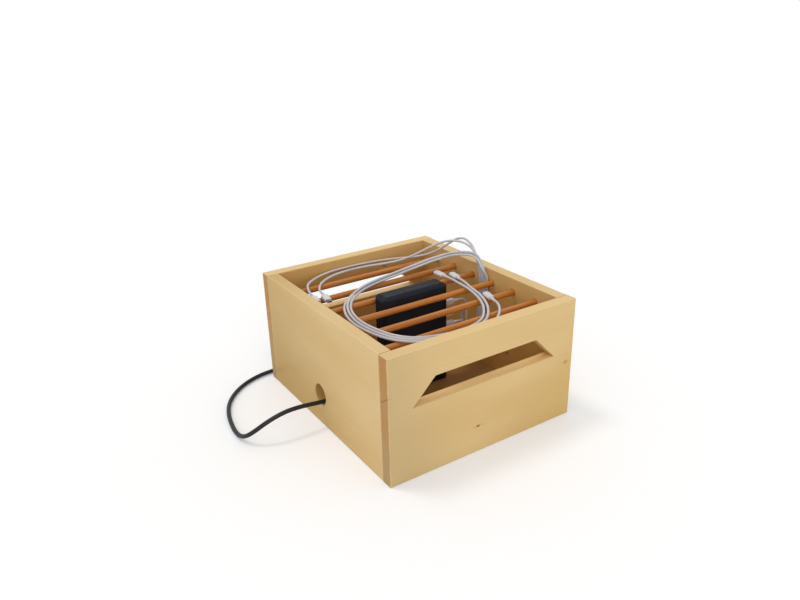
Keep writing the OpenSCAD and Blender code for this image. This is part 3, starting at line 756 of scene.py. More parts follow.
@dataclass(frozen=True)
class CircuitLaminate(Finish):
    """Green circuit laminate with copper tracks and pads under its mask."""

    mask: Colour = screen(34, 92, 54)
    track: Colour = screen(58, 128, 74)
    pad: Colour = screen(186, 160, 96)

    def paint(self, graph: Graph) -> Shade:
        """The laminate's shader.

        Args:
            graph: Its material's graph.

        Returns:
            The shader.
        """
        x, _, z = graph.where()
        lines = ((x + graph.noise(40, 1) * 0.004) * 900).wave().rise(0.62, 0.78)
        rows = ((x * 500).wave() * (z * 500).wave()).rise(0.86, 0.94)
        colour = graph.coats(self.mask, (lines * 0.7, self.track), (rows, self.pad))
        return graph.surface(colour, 0.34 + lines * 0.1, Metallic=rows * 0.8,
                             Normal=graph.bump(lines, 0.00003, 0.0002))


@dataclass(frozen=True)
class WoundTape(Finish):
    """Tape wound round a coil, in bands that overlap."""

    band: float = 0.009
    base: Colour = screen(212, 172, 62)
    lap: Colour = screen(160, 120, 38)

    def paint(self, graph: Graph) -> Shade:
        """The tape's shader.

        Args:
            graph: Its material's graph.

        Returns:
            The shader.
        """
        bands = (graph.where()[2] / self.band).fraction()
        creases = graph.noise((90, 90, 700), 3)
        colour = graph.mix(bands.fall(0.02, 0.12) * 0.8 + creases * 0.2, self.base, self.lap)
        return graph.surface(colour, 0.4 + creases * 0.15,
                             Normal=graph.bump(bands + creases * 0.5, 0.00008, 0.0003))


@dataclass(frozen=True)
class PaleFloor(Finish):
    """Plain pale floor, white to look at but for the shadow on it."""

    tone: Colour = (0.92, 0.92, 0.92, 1.0)
    seen_tone: Colour = (0.95, 0.89, 0.83, 1.0)
    seen_glow: Colour = (0.088, 0.146, 0.205, 1.0)

    def paint(self, graph: Graph) -> Shade:
        """The floor's shader.

        Args:
            graph: Its material's graph.

        Returns:
            The shader.
        """
        rough = 0.9 + graph.noise(3, 3) * 0.05
        matt, seen = (graph.surface(tone, rough, Specular_IOR_Level=0.0)
                      for tone in (self.tone, self.seen_tone))
        glow = graph.add("ShaderNodeEmission", None, {"Color": self.seen_glow, "Strength": 1.0})
        return graph.seen_as(matt, graph.add("ShaderNodeAddShader", None, {0: seen, 1: glow}))


BLACK_PLASTIC = MouldedPlastic("mains_plastic", screen(30, 30, 32), screen(41, 41, 43),
                               screen(88, 88, 90), 0.46, shine=0.4)
SLATE_PLASTIC = MouldedPlastic("charger_plastic", screen(27, 31, 37), screen(34, 38, 45),
                               screen(84, 89, 97), 0.5, edge=0.0009, softness=0.004, shine=0.12, seam=True)
WHITE_PLASTIC = MouldedPlastic("plug_plastic", screen(214, 212, 212), screen(200, 198, 199),
                               screen(228, 227, 228), 0.38, grit=3000.0, edge=0.0005)
SLEEVE = MouldedPlastic("capacitor_sleeve", screen(40, 42, 50), screen(52, 55, 64),
                        screen(150, 152, 158), 0.3, edge=0.0004)
LEAD_JACKET = CableJacket("lead_jacket", screen(200, 198, 200), screen(181, 177, 177), 0.45)
MAINS_JACKET = CableJacket("mains_jacket", screen(29, 29, 30), screen(43, 42, 41), 0.42, 0.3)
METAL = PlatedMetal("plug_metal")
TIP_METAL = PlatedMetal("tip_metal", screen(122, 123, 127), screen(88, 88, 92))
SCREW_METAL = PlatedMetal("screw_metal", screen(178, 180, 184), roughness=0.32)


def dress(node: str, finish: Finish) -> Piece:
    """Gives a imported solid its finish, through its object's material slots.

    Args:
        node: The solid's name.
        finish: Its finish.

    Returns:
        The solid's object.
    """
    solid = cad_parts[node]
    for slot in solid.material_slots:
        slot.link = "OBJECT"
        slot.material = finish.material()
    LOG.info("%s: %s", node, finish.name)
    return solid


def adopt(piece: Piece, slot: str, *nodes: str) -> Piece:
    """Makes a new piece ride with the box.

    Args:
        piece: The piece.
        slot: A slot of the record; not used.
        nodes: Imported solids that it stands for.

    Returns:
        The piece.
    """
    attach(piece, BODY)
    if nodes:
        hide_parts(*nodes)
    LOG.info("%s: a piece for %s", piece.name, ", ".join(nodes) or "the box")
    return piece


def show(name: str, data: bpy.types.ID) -> Piece:
    """Puts a new object in the scene.

    Args:
        name: The object's name.
        data: What it shows.

    Returns:
        The object.
    """
    made = bpy.data.objects.new(name, data)
    bpy.context.scene.collection.objects.link(made)
    return made


def mesh_object(name: str, mesh: Mesh, finish: Finish, sharp: float = 35.0) -> Piece:
    """Makes an object of a mesh, smooth but for its sharp edges.

    Args:
        name: The object's name.
        mesh: The mesh, which is used up.
        finish: Its finish.
        sharp: Angle in degrees from which an edge is sharp.

    Returns:
        The object, in the scene.
    """
    bmesh.ops.remove_doubles(mesh, verts=mesh.verts, dist=SAME_POINT)
    bmesh.ops.recalc_face_normals(mesh, faces=mesh.faces)
    data = bpy.data.meshes.new(name)
    mesh.to_mesh(data)
    mesh.free()
    data.shade_smooth()
    data.set_sharp_from_angle(angle=math.radians(sharp))
    data.materials.append(finish.material())
    return show(name, data)


def loft(mesh: Mesh, rings: Sequence[Ring]) -> None:
    """Skins a row of rings and caps its two ends.

    Args:
        mesh: The mesh to add to.
        rings: The rings, of as many points each.
    """
    rows = [[mesh.verts.new(point) for point in ring] for ring in rings]
    count = len(rows[0])
    for low, high in zip(rows, rows[1:]):
        for i in range(count):
            j = (i + 1) % count
            mesh.faces.new((low[i], low[j], high[j], high[i]))
    mesh.faces.new(rows[0])
    mesh.faces.new(rows[-1])


def flat_ring(along: float, width: float, thick: float) -> Ring:
    """A ring with round ends, square to X.

    Args:
        along: Its place along X.
        width: Its width along Y.
        thick: Its thickness along Z, at most its width.

    Returns:
        The points of the ring, in order.
    """
    radius, reach = thick / 2, (width - thick) / 2
    turns = [math.pi * (i / ARC_STEPS - 0.5) for i in range(ARC_STEPS + 1)]
    return [Vector((along, side * (reach + radius * math.cos(t)), side * radius * math.sin(t)))
            for side in (1, -1) for t in turns]


def half_turn(radius: float, way: int, steps: int = 6) -> list[tuple[float, float]]:
    """Offsets of half a turn from its left end to its right end, by way of below (1) or above (-1)."""
    turns = (math.pi * (1 + way * i / steps) for i in range(steps + 1))
    return [(radius * math.cos(t), radius * math.sin(t)) for t in turns]


def curve_point(p0: Vector, p1: Vector, p2: Vector, p3: Vector, share: float) -> Vector:
    """Point of a smooth curve from p1 to p2, with knots at root distances.

    Args:
        p0: The point before.
        p1: The start of the stretch.
        p2: The end of the stretch.
        p3: The point after.
        share: How far along the stretch, from 0 to 1.

    Returns:
        The point on the curve.
    """
    k1 = math.sqrt((p1 - p0).length)
    k2 = k1 + math.sqrt((p2 - p1).length)
    k3 = k2 + math.sqrt((p3 - p2).length)
    t = k1 + (k2 - k1) * share

    def between(a: Vector, b: Vector, ta: float, tb: float) -> Vector:
        """The point between a and b at knot t."""
        return (a * (tb - t) + b * (t - ta)) / (tb - ta)

    a1, a2, a3 = between(p0, p1, 0, k1), between(p1, p2, k1, k2), between(p2, p3, k2, k3)
    return between(between(a1, a2, 0, k2), between(a2, a3, k1, k3), k1, k2)


def smooth(route: Sequence[Point], steps: int = 8) -> list[Vector]:
    """A smooth path through a route.

    Args:
        route: The points that it goes through.
        steps: Steps between two of them.

    Returns:
        The points of the path.
    """
    points = [Vector(p) for p in route]
    padded = [2 * points[0] - points[1], *points, 2 * points[-1] - points[-2]]
    path = []
    for i in range(len(points) - 1):
        path += [curve_point(*padded[i:i + 4], s / steps) for s in range(steps)]
    return [*path, points[-1]]


def path_length(path: Sequence[Vector]) -> float:
    """Length of a path."""
    return sum((b - a).length for a, b in zip(path, path[1:]))


def flex(name: str, path: Sequence[Vector], diameter: float, jacket: Finish) -> Piece:
    """A round lead along a path, as a curve of one spline.

    Args:
        name: The lead's name.
        path: Its centreline.
        diameter: Its diameter.
        jacket: Its finish.

    Returns:
        The curve object, in the scene.
    """
    curve = bpy.data.curves.new(name, "CURVE")
    curve.dimensions = "3D"
    curve.bevel_depth = diameter / 2
    curve.bevel_resolution = LEAD_STEPS
    curve.use_fill_caps = True
    spline = curve.splines.new("POLY")
    spline.points.add(len(path) - 1)
    for point, place in zip(spline.points, path):
        point.co = (*place, 1.0)
    curve.materials.append(jacket.material())
    return show(name, curve)


@dataclass
class PhotoCamera:
    """The camera, at the place and with the lens that the box was seen with."""

    place: Point = (-0.5880, -0.8818, 0.6190)
    azimuth: float = -32.80
    elevation: float = 22.79
    roll: float = -1.46
    focal_pixels: float = 708.9
    frame_pixels: float = 800.0
    sensor: float = 36.0

    def build(self) -> None:
        """Makes the camera and looks through it."""
        data = bpy.data.cameras.new("camera")
        data.sensor_width = self.sensor
        data.lens = self.focal_pixels / self.frame_pixels * self.sensor
        data.dof.use_dof = False
        camera = show("camera", data)
        pose = Matrix.Translation(self.place)
        for angle, axis in ((self.azimuth, "Z"), (90 - self.elevation, "X"), (self.roll, "Z")):
            pose = pose @ Matrix.Rotation(math.radians(angle), 4, axis)
        camera.matrix_world = pose
        bpy.context.scene.camera = camera
        LOG.info("camera: %.1f mm lens", data.lens)


@dataclass
class PlugShape:
    """A small flat plug on a lead: ribbed boot, rounded body and hollow metal tip."""

    boot: float = 0.010
    body: float = 0.021
    width: float = 0.012
    thick: float = 0.0065
    boot_thin: float = 0.0046
    boot_thick: float = 0.0059
    boot_ribs: int = 4
    rib_line: tuple[tuple[float, float], ...] = ((0.0, 0.0), (0.5, 0.0), (0.62, 0.0007), (0.9, 0.0007))
    rear_taper: tuple[float, float] = (1.2, 0.35)
    front_taper: tuple[float, float] = (1.0, 0.7)
    tip: float = 0.0066
    tip_width: float = 0.0083
    tip_thick: float = 0.0025
    tip_wall: float = 0.0004
    tip_seat: float = 0.0004
    tip_floor: float = 0.0012
    round_off: float = 0.0016
    round_steps: int = 5

    def body_rings(self) -> list[Ring]:
        """Makes the boot and the body, from the lead to the tip.

        Returns:
            The rings.
        """
        rings = []
        for rib in range(self.boot_ribs):
            for share, sink in self.rib_line:
                along = (rib + share) / self.boot_ribs
                wide = self.boot_thin + (self.boot_thick - self.boot_thin) * along - sink
                rings.append(flat_ring(self.boot * along, wide, wide))
        turns = [math.pi / 2 * i / self.round_steps for i in range(self.round_steps + 1)]
        corner = [(self.round_off * (1 - math.cos(t)), 2 * self.round_off * (1 - math.sin(t))) for t in turns]
        front = self.boot + self.body
        rows = [(self.boot + depth, inset, self.rear_taper) for depth, inset in corner]
        rows += [(front - depth, inset, self.front_taper) for depth, inset in reversed(corner)]
        return rings + [flat_ring(along, self.width - wide * inset, self.thick - thin * inset)
                        for along, inset, (wide, thin) in rows]

    def tip_rings(self) -> list[Ring]:
        """Makes the hollow tip: out along its skin, round its lip and back inside.

        Returns:
            The rings.
        """
        start = self.boot + self.body
        end, lip = start + self.tip, self.tip_wall / 2
        outer = (self.tip_width, self.tip_thick)
        inner = (self.tip_width - 2 * self.tip_wall, self.tip_thick - 2 * self.tip_wall)
        return [flat_ring(start - self.tip_seat, *outer), flat_ring(end - lip, *outer),
                flat_ring(end, *(size - lip for size in outer)),
                flat_ring(end, *(size + lip for size in inner)),
                flat_ring(end - lip, *inner), flat_ring(start + self.tip_floor, *inner)]

    def make(self, name: str, place: Matrix) -> list[Piece]:
        """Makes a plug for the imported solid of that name.

        Args:
            name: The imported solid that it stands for.
            place: Where its lead ends, with X towards the tip.

        Returns:
            The body and the tip.
        """
        made = []
        for part, rings, finish in (("body", self.body_rings(), WHITE_PLASTIC),
                                    ("tip", self.tip_rings(), TIP_METAL)):
            mesh = bmesh.new()
            loft(mesh, rings)
            bmesh.ops.transform(mesh, matrix=place, verts=mesh.verts)
            made.append(mesh_object(f"{name}_{part}", mesh, finish))
        adopt(made[0], "plug_plastic", name)
        adopt(made[1], "plug_metal")
        return made


@dataclass
class ChargingLeads:
    """The five charging leads: two with their slack on the floor panel, three in a loop over the rails."""

    diameter: float = 0.004
    length: float = 1.0
    count: int = 5
    looped: int = 3
    straight: float = 0.005
    turn_radius: tuple[float, ...] = (0.0105, 0.0152, 0.0148, 0.0138, 0.0118)
    turn_aside: tuple[float, ...] = (-0.0085, -0.005, 0.0008, 0.010, 0.005)
    turn_steps: int = 3
    turn_power: float = 1.5
    down_heights: tuple[tuple[float, ...], ...] = ((), (), (0.110, 0.088))
    dip_x: tuple[float, ...] = (0.124, 0.128, 0.128)
    dip_y: tuple[float, ...] = (-0.010, -0.0045, 0.001)
    dip_radius: tuple[float, ...] = (0.0115, 0.011, 0.011)
    dip_low: tuple[float, ...] = (0.042, 0.057, 0.053)
    rise_run: float = 0.014
    rise_middle: float = 0.110
    rise_top: tuple[tuple[Point, ...], ...] = (
        ((0.147, -0.017, -0.015), (0.146, -0.0165, 0.005), (0.140, -0.0118, 0.0184)),
        ((0.147, -0.0122, -0.015), (0.147, -0.0113, 0.005), (0.1447, -0.0061, 0.0225)),
        ((0.147, -0.0074, -0.015), (0.147, -0.006, 0.005), (0.1465, -0.0017, 0.020)))
    bundle: tuple[Point, ...] = (
        (0.139, 0.005, 0.036), (0.124, 0.038, 0.034), (0.098, 0.062, 0.024), (0.064, 0.077, 0.013),
        (0.024, 0.081, 0.006), (-0.016, 0.077, 0.003), (-0.052, 0.065, 0.0025), (-0.082, 0.045, 0.0025),
        (-0.105, 0.019, 0.0025), (-0.119, -0.012, 0.0025), (-0.1245, -0.046, 0.0025),
        (-0.121, -0.082, 0.0025), (-0.111, -0.115, 0.0025), (-0.091, -0.141, 0.0025),
        (-0.062, -0.1555, 0.0025), (-0.028, -0.162, 0.0025), (0.006, -0.160, 0.0025),
        (0.034, -0.149, 0.0025), (0.056, -0.1285, 0.0025), (0.075, -0.101, 0.0025),
        (0.089, -0.068, 0.0025), (0.097, -0.034, 0.0025))
    strand_gap: float = 0.0027
    strand_fan: float = 0.004
    strand_rise: float = 0.0042
    middle_strand: int = 2
    fan_from: int = 5
    fan_to: int = 11
    bundle_last: tuple[int, ...] = (21, 21, 16)
    tails: tuple[tuple[Point, ...], ...] = (
        ((0.0915, -0.005, 0.0035), (0.0928, 0.010, 0.0036), (0.0923, 0.024, 0.0036)),
        ((0.1025, -0.010, 0.0036), (0.1042, 0.002, 0.0036)),
        ((0.040, -0.1605, 0.0025), (0.062, -0.146, 0.0028), (0.0785, -0.128, 0.0035),
         (0.087, -0.1135, 0.0036), (0.0903, -0.101, 0.0036)))
    lay: float = 0.0185
    hairpin_x: float = 0.1245
    hairpin_y: tuple[float, ...] = (0.140, 0.133)
    hairpin_radius: tuple[float, ...] = (0.0215, 0.0155)
    drops: tuple[tuple[Point, ...], ...] = (
        ((0.118, 0.014, 0.098), (0.118, 0.021, 0.070), (0.114, 0.032, 0.048), (0.108, 0.046, 0.032),
         (0.104, 0.064, 0.022), (0.103, 0.088, 0.0185)),
        ((0.113, 0.009, 0.084), (0.112, 0.018, 0.050), (0.112, 0.030, 0.030), (0.1105, 0.046, 0.021),
         (0.109, 0.066, 0.0185), (0.109, 0.092, 0.0185)))
    rises: tuple[tuple[Point, ...], ...] = (
        ((0.146, 0.080, 0.0185), (0.145, 0.046, 0.0185), (0.1435, 0.024, 0.024), (0.1445, 0.009, 0.042),
         (0.1465, 0.002, 0.070), (0.147, -0.0004, 0.115), (0.147, -0.0022, 0.162)),
        ((0.140, 0.056, 0.0185), (0.1395, 0.036, 0.0225), (0.141, 0.021, 0.038), (0.145, 0.0115, 0.066),
         (0.147, 0.006, 0.110), (0.147, 0.0022, 0.160)))
    backs: tuple[tuple[Point, ...], ...] = (
        ((0.147, -0.001, 0.007), (0.147, 0.0044, 0.023), (0.1453, 0.0108, 0.036), (0.1423, 0.020, 0.046),
         (0.139, 0.035, 0.052), (0.1315, 0.055, 0.053), (0.121, 0.076, 0.047), (0.107, 0.097, 0.034),
         (0.090, 0.117, 0.019), (0.069, 0.134, 0.008), (0.042, 0.148, 0.003), (0.009, 0.156, 0.0025),
         (-0.026, 0.157, 0.0025), (-0.061, 0.150, 0.0025), (-0.091, 0.132, 0.0025), (-0.109, 0.107, 0.003),
         (-0.113, 0.095, 0.0036), (-0.115, 0.084, 0.0036)),
        ((0.147, 0.004, 0.007), (0.1472, 0.010, 0.025), (0.1473, 0.0178, 0.040), (0.1466, 0.029, 0.0515),
         (0.1455, 0.044, 0.0565), (0.144, 0.062, 0.0525), (0.141, 0.080, 0.041), (0.1345, 0.099, 0.0265),
         (0.123, 0.119, 0.0135), (0.105, 0.139, 0.0055), (0.080, 0.156, 0.003), (0.049, 0.167, 0.0025),
         (0.015, 0.172, 0.0025), (-0.020, 0.173, 0.0025), (-0.055, 0.170, 0.0025), (-0.088, 0.158, 0.0025),
         (-0.114, 0.138, 0.0028), (-0.127, 0.111, 0.0034), (-0.130, 0.100, 0.0036), (-0.132, 0.089, 0.0036)))

    def over_rails(self, points: Sequence[Point]) -> list[Point]:
        """Points whose heights are given above the rails."""
        return [(x, y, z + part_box("rail_1")[1].z) for x, y, z in points]

    def leave(self, number: int) -> list[Point]:
        """Leads out of the plug in the charger, then down through a quarter turn.

        Args:
            number: Which lead.

        Returns:
            The points.
        """
        x, y, z = right_end(f"charger_plug_{number}")
        radius, aside = self.turn_radius[number - 1], self.turn_aside[number - 1]
        points = [(x, y, z), (x + self.straight, y, z)]
        for step in range(1, self.turn_steps + 1):
            share = step / self.turn_steps
            angle = math.pi / 2 * share
            points.append((x + self.straight + radius * math.sin(angle), y + aside * share ** self.turn_power,
                           z + radius * (math.cos(angle) - 1)))
        return points

    def dip(self, number: int) -> list[Point]:
        """Leads down to the hanging turn of leads 1 to 3, and up again over the rails.

        Args:
            number: Which lead.

        Returns:
            The points.
        """
        i = number - 1
        x, y, radius = self.dip_x[i], self.dip_y[i], self.dip_radius[i]
        turn = self.dip_low[i] + radius
        end, *top = self.over_rails(self.rise_top[i])
        return [*((x - radius, y, z) for z in self.down_heights[i]),
                *((x + dx, y, turn + dz) for dx, dz in half_turn(radius, 1)),
                (x + radius, y, turn + self.rise_run),
                ((x + radius + end[0]) / 2, (y + end[1]) / 2, self.rise_middle), end, *top]

    def strand(self, index: int, number: int) -> Point:
        """Point of the shared loop for one of leads 1 to 3, which lie together and then fan out.

        Args:
            index: Which point of the loop.
            number: Which lead.

        Returns:
            The point, with its height above the rails.
        """
        points = [Vector(p) for p in self.bundle]
        ends = [2 * points[0] - points[1], *points, 2 * points[-1] - points[-2]]
        along = ends[index + 2] - ends[index]
        aside = Vector((along.y, -along.x, 0)).normalized()
        fan = ease((index - self.fan_from) / (self.fan_to - self.fan_from))
        lift = self.strand_rise * (1 - fan) if number == self.middle_strand else 0.0
        offset = (number - self.middle_strand) * (self.strand_gap + self.strand_fan * fan)
        return tuple(points[index] + offset * aside + Vector((0, 0, lift)))

    def hairpin(self, which: int) -> list[Point]:
        """The turn of lead 4 or 5 on the floor panel."""
        turn = half_turn(self.hairpin_radius[which], -1)
        return [(self.hairpin_x + dx, self.hairpin_y[which] + dy, self.lay) for dx, dy in turn]

    def route(self, number: int) -> list[Point]:
        """Leads a lead from the charger to its free plug.

        Args:
            number: Which lead.

        Returns:
            The points that it goes through.
        """
        if number <= self.looped:
            loop = [self.strand(i, number) for i in range(self.bundle_last[number - 1] + 1)]
            return [*self.leave(number), *self.dip(number),
                    *self.over_rails([*loop, *self.tails[number - 1]])]
        which = number - self.looped - 1
        return [*self.leave(number), *self.drops[which], *self.hairpin(which), *self.rises[which],
                *self.over_rails(self.backs[which])]

    def build(self) -> None:
        """Lays the leads and puts their plugs on."""
        shape = PlugShape()
        for number in range(1, self.count + 1):
            route = self.route(number)
            lead = flex(f"lead_{number}_jacket", smooth(route), self.diameter, LEAD_JACKET)
            adopt(lead, "lead_jacket", f"lead_{number}")
            charger_end = Matrix.Translation(route[0]) @ Matrix.Rotation(math.pi, 4, "Z")
            charger_end = charger_end @ Matrix.Rotation(math.pi / 2, 4, "X")
            along = Vector(route[-1]) - Vector(route[-2])
            free_end = Matrix.Translation(route[-1]) @ Matrix.Rotation(math.atan2(along.y, along.x), 4, "Z")
            plugs = [*shape.make(f"charger_plug_{number}", charger_end),
                     *shape.make(f"laptop_plug_{number}", free_end)]
            LOG.info("lead_%d: %.3f m", number, path_length(smooth(route)))


@dataclass
class MainsLead:
    """The mains lead: out of the cable hole, along the box and into a tied coil behind it."""

    diameter: float = 0.007
    length: float = 1.84
    coil_centre: tuple[float, float] = (-0.075, 0.258)
    coil_radius: float = 0.030
    coil_step: float = 0.0087
    coil_turns: float = 2.25
    coil_height: float = 0.0047
    turn_points: int = 24
    side_route: tuple[Point, ...] = (
        (-0.145, 0.0, 0.041), (-0.168, 0.0, 0.042), (-0.190, 0.0, 0.0445), (-0.211, 0.0, 0.0465),
        (-0.231, 0.0005, 0.046), (-0.250, 0.0015, 0.042), (-0.267, 0.0045, 0.0345), (-0.281, 0.011, 0.024),
        (-0.2905, 0.022, 0.0135), (-0.295, 0.038, 0.0065), (-0.2955, 0.059, 0.004), (-0.292, 0.086, 0.004),
        (-0.285, 0.115, 0.004), (-0.272, 0.145, 0.004), (-0.251, 0.172, 0.004), (-0.222, 0.194, 0.004),
        (-0.188, 0.206, 0.0045))
    coil_way_x: tuple[float, ...] = (-0.150, -0.110)
    plug_way: tuple[Point, ...] = ((-0.050, 0.002, 0.014), (-0.026, 0.010, 0.017))
    tie_thick: float = 0.0009
    tie_edge: float = 0.0004
    tie_round: float = 0.0035
    tie_steps: int = 6
    tie_start: float = 0.004
    tie_tail: float = 0.016
    tie_lap: float = 1.1
    tie_climb: float = 3.0
    tie_sharp: float = 60.0
    tail_line: tuple[float, ...] = (0.15, 0.4, 0.7, 1.0)
    strip_line: tuple[tuple[float, float], ...] = (
        (-0.0005, 0.0027), (-0.003, 0.0022), (-0.006, 0.0019), (-0.0092, 0.0026))
    strip_outline: tuple[tuple[float, float], ...] = (
        (0, -0.0022), (0.0003, -0.0018), (0.0003, 0.0018), (0, 0.0022), (-0.0004, 0.0022), (-0.0004, -0.0022))

    @property
    def coil_outer(self) -> float:
        """Radius of the coil's outermost turn."""
        return self.coil_radius + self.coil_turns * self.coil_step

    def coil_point(self, angle: float) -> Point:
        """Point of the coil: in along the lower layer, up in half a turn, out along the upper one.

        Args:
            angle: Degrees from the start of the coil.

        Returns:
            The point.
        """
        layer = 360 * self.coil_turns
        if angle < layer:
            radius = self.coil_outer - self.coil_step * angle / 360
        else:
            radius = self.coil_radius + self.coil_step * max(0.0, angle - layer - 180) / 360
        turn = math.radians(angle - 90)
        return (self.coil_centre[0] + radius * math.cos(turn), self.coil_centre[1] + radius * math.sin(turn),
                self.coil_height + self.coil_step * ease((angle - layer) / 180))

    def path(self) -> list[Vector]:
        """Leads the whole lead from its connector to its plug.

        Returns:
            The points of its centreline.
        """
        x, y = self.coil_centre[0], self.coil_centre[1] - self.coil_outer
        low, high = self.coil_height, self.coil_height + self.coil_step
        near, rear = self.diameter / 4, left_end("mains_plug")
        count = round(self.turn_points * (2 * self.coil_turns + 0.5))
        beside = [left_end("mains_connector"), *self.side_route, *((way, y, low) for way in self.coil_way_x),
                  (x - self.diameter, y, low), (x, y, low)]
        turns = [(x, y, low), (x + near, y, low),
                 *(self.coil_point(360 / self.turn_points * i) for i in range(1, count)),
                 (x - near, y, high), (x, y, high)]
        away = [(x, y, high), (x + self.diameter, y, high), *((a, y + b, c) for a, b, c in self.plug_way),
                (rear[0] - 2 * self.diameter, *rear[1:]), rear]
        return [*smooth(beside), *smooth(turns, 2)[1:], *smooth(away)[1:]]

    def build_tie(self) -> Piece:
        """Makes the strap round the coil, with its tail lapped over the start.

        Returns:
            The strap.
        """
        wide, half_y, half_z = half("coil_tie") - Vector((0, self.tie_thick / 2, self.tie_thick / 2))
        corner = self.tie_round
        path = [(corner - half_y + self.tie_start, half_z), (0.0, half_z)]
        for y_side, z_side, first in ((1, 1, 90), (1, -1, 0), (-1, -1, -90), (-1, 1, -180)):
            for step in range(self.tie_steps + 1):
                angle = math.radians(first - 90 * step / self.tie_steps)
                path.append((y_side * (half_y - corner) + corner * math.cos(angle),
                             z_side * (half_z - corner) + corner * math.sin(angle)))
        lap = self.tie_thick * self.tie_lap
        path += [(corner - half_y + self.tie_tail * share, half_z + lap * ease(share * self.tie_climb))
                 for share in self.tail_line]
        rings = []
        for before, here, after in zip([path[0], *path], path, [*path[1:], path[-1]]):
            along = (Vector(after) - Vector(before)).normalized()
            out = Vector((0.0, -along.y, along.x)) * (self.tie_thick / 2)
            centre = middle("coil_tie") + Vector((0, *here))
            side, thin = Vector((wide, 0, 0)), Vector((wide - self.tie_edge, 0, 0))
            rings.append([centre - side, centre - thin + out, centre + thin + out,
                          centre + side, centre + thin - out, centre - thin - out])
        mesh = bmesh.new()
        loft(mesh, rings)
        return mesh_object("coil_tie_strap", mesh, WovenStrap("tie_strap"), self.tie_sharp)

    def build_earth_strips(self) -> Piece:
        """Makes the two earth springs in the notches of the plug.

        Returns:
            The springs, as one piece.
        """
        centre, reach = middle("mains_plug"), half("mains_plug")
        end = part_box("mains_plug")[1].x
        mesh = bmesh.new()
        for side in (1, -1):
            loft(mesh, [[Vector((end + along, centre.y + side * (reach.z - sink + dy), centre.z + dz))
                         for dy, dz in self.strip_outline] for along, sink in self.strip_line])
        return mesh_object("mains_plug_earth_strips", mesh, PlatedMetal("earth_metal"))

    def build(self) -> None:
        """Lays the lead, ties its coil and dresses its connector and plug."""
        path = self.path()
        jacket = flex("mains_lead_jacket", path, self.diameter, MAINS_JACKET)
        adopt(jacket, "mains_jacket", "mains_lead", "mains_coil", "mains_lead_end")
        connector, plug = dress("mains_connector", BLACK_PLASTIC), dress("mains_plug", BLACK_PLASTIC)
        dress("mains_inlet", BLACK_PLASTIC)
        pins = dress("mains_plug_pins", METAL)
        tie = adopt(self.build_tie(), "tie_strap", "coil_tie")
        strips = adopt(self.build_earth_strips(), "plug_metal")
        LOG.info("mains lead: %.3f m", path_length(path))


@dataclass
class WoodenBox:
    """The four boards, the floor panel, the corner pins and the rails."""

    boards: tuple[BoardWood, ...] = (
        BoardWood("board_wood_front_panel", "front_panel", Grain(Axis.X, (-0.150, -0.020), 0.31),
                  (Knot(-0.0166, 0.0441, 0.0020, 0.8),
                   Knot(0.1559, 0.0963, 0.0030, 0.6, screen(188, 128, 60)),
                   Knot(-0.1700, 0.1345, 0.0013, 0.6, screen(140, 98, 54), 0.68)),
                  # Painted shade: the front board greyer towards its left end and more amber towards its
                  # lower right.
                  (ShadeDrift(-1.0, -0.15, 0.2, 1.1, screen(195, 169, 121), 0.85),
                   ShadeDrift(0.8, -0.7, 0.2, 1.4, screen(204, 169, 100), 0.8))),
        BoardWood("board_wood_back_panel", "back_panel", Grain(Axis.X, (0.120, 0.260), 2.17),
                  (Knot(0.062, 0.168, 0.0024, 0.5),)),
        BoardWood("board_wood_left_side", "left_side", Grain(Axis.Y, (-0.240, 0.330), 5.41),
                  # Painted shade: the left board more amber towards its back and its foot.
                  shade_drifts=(ShadeDrift(0.8, -0.5, -0.7, 1.25, screen(178, 143, 69), 0.85),)),
        BoardWood("board_wood_right_side", "right_side", Grain(Axis.Y, (0.250, -0.160), 7.93),
                  (Knot(-0.071, 0.061, 0.0021, 0.6),)))
    pin_seed: float = 9.1
    rail_seed: float = 1.37

    def build(self) -> None:
        """Dresses the whole box."""
        for board in self.boards:
            dress(board.node, board)
        dress("floor_panel", SandedPly("panel_wood", "floor_panel"))
        dress("corner_pins", TurnedWood("pin_wood", self.pin_seed))
        for i in range(1, RAILS + 1):
            dress(f"rail_{i}", TurnedWood(f"rail_wood_{i}", self.rail_seed * i))


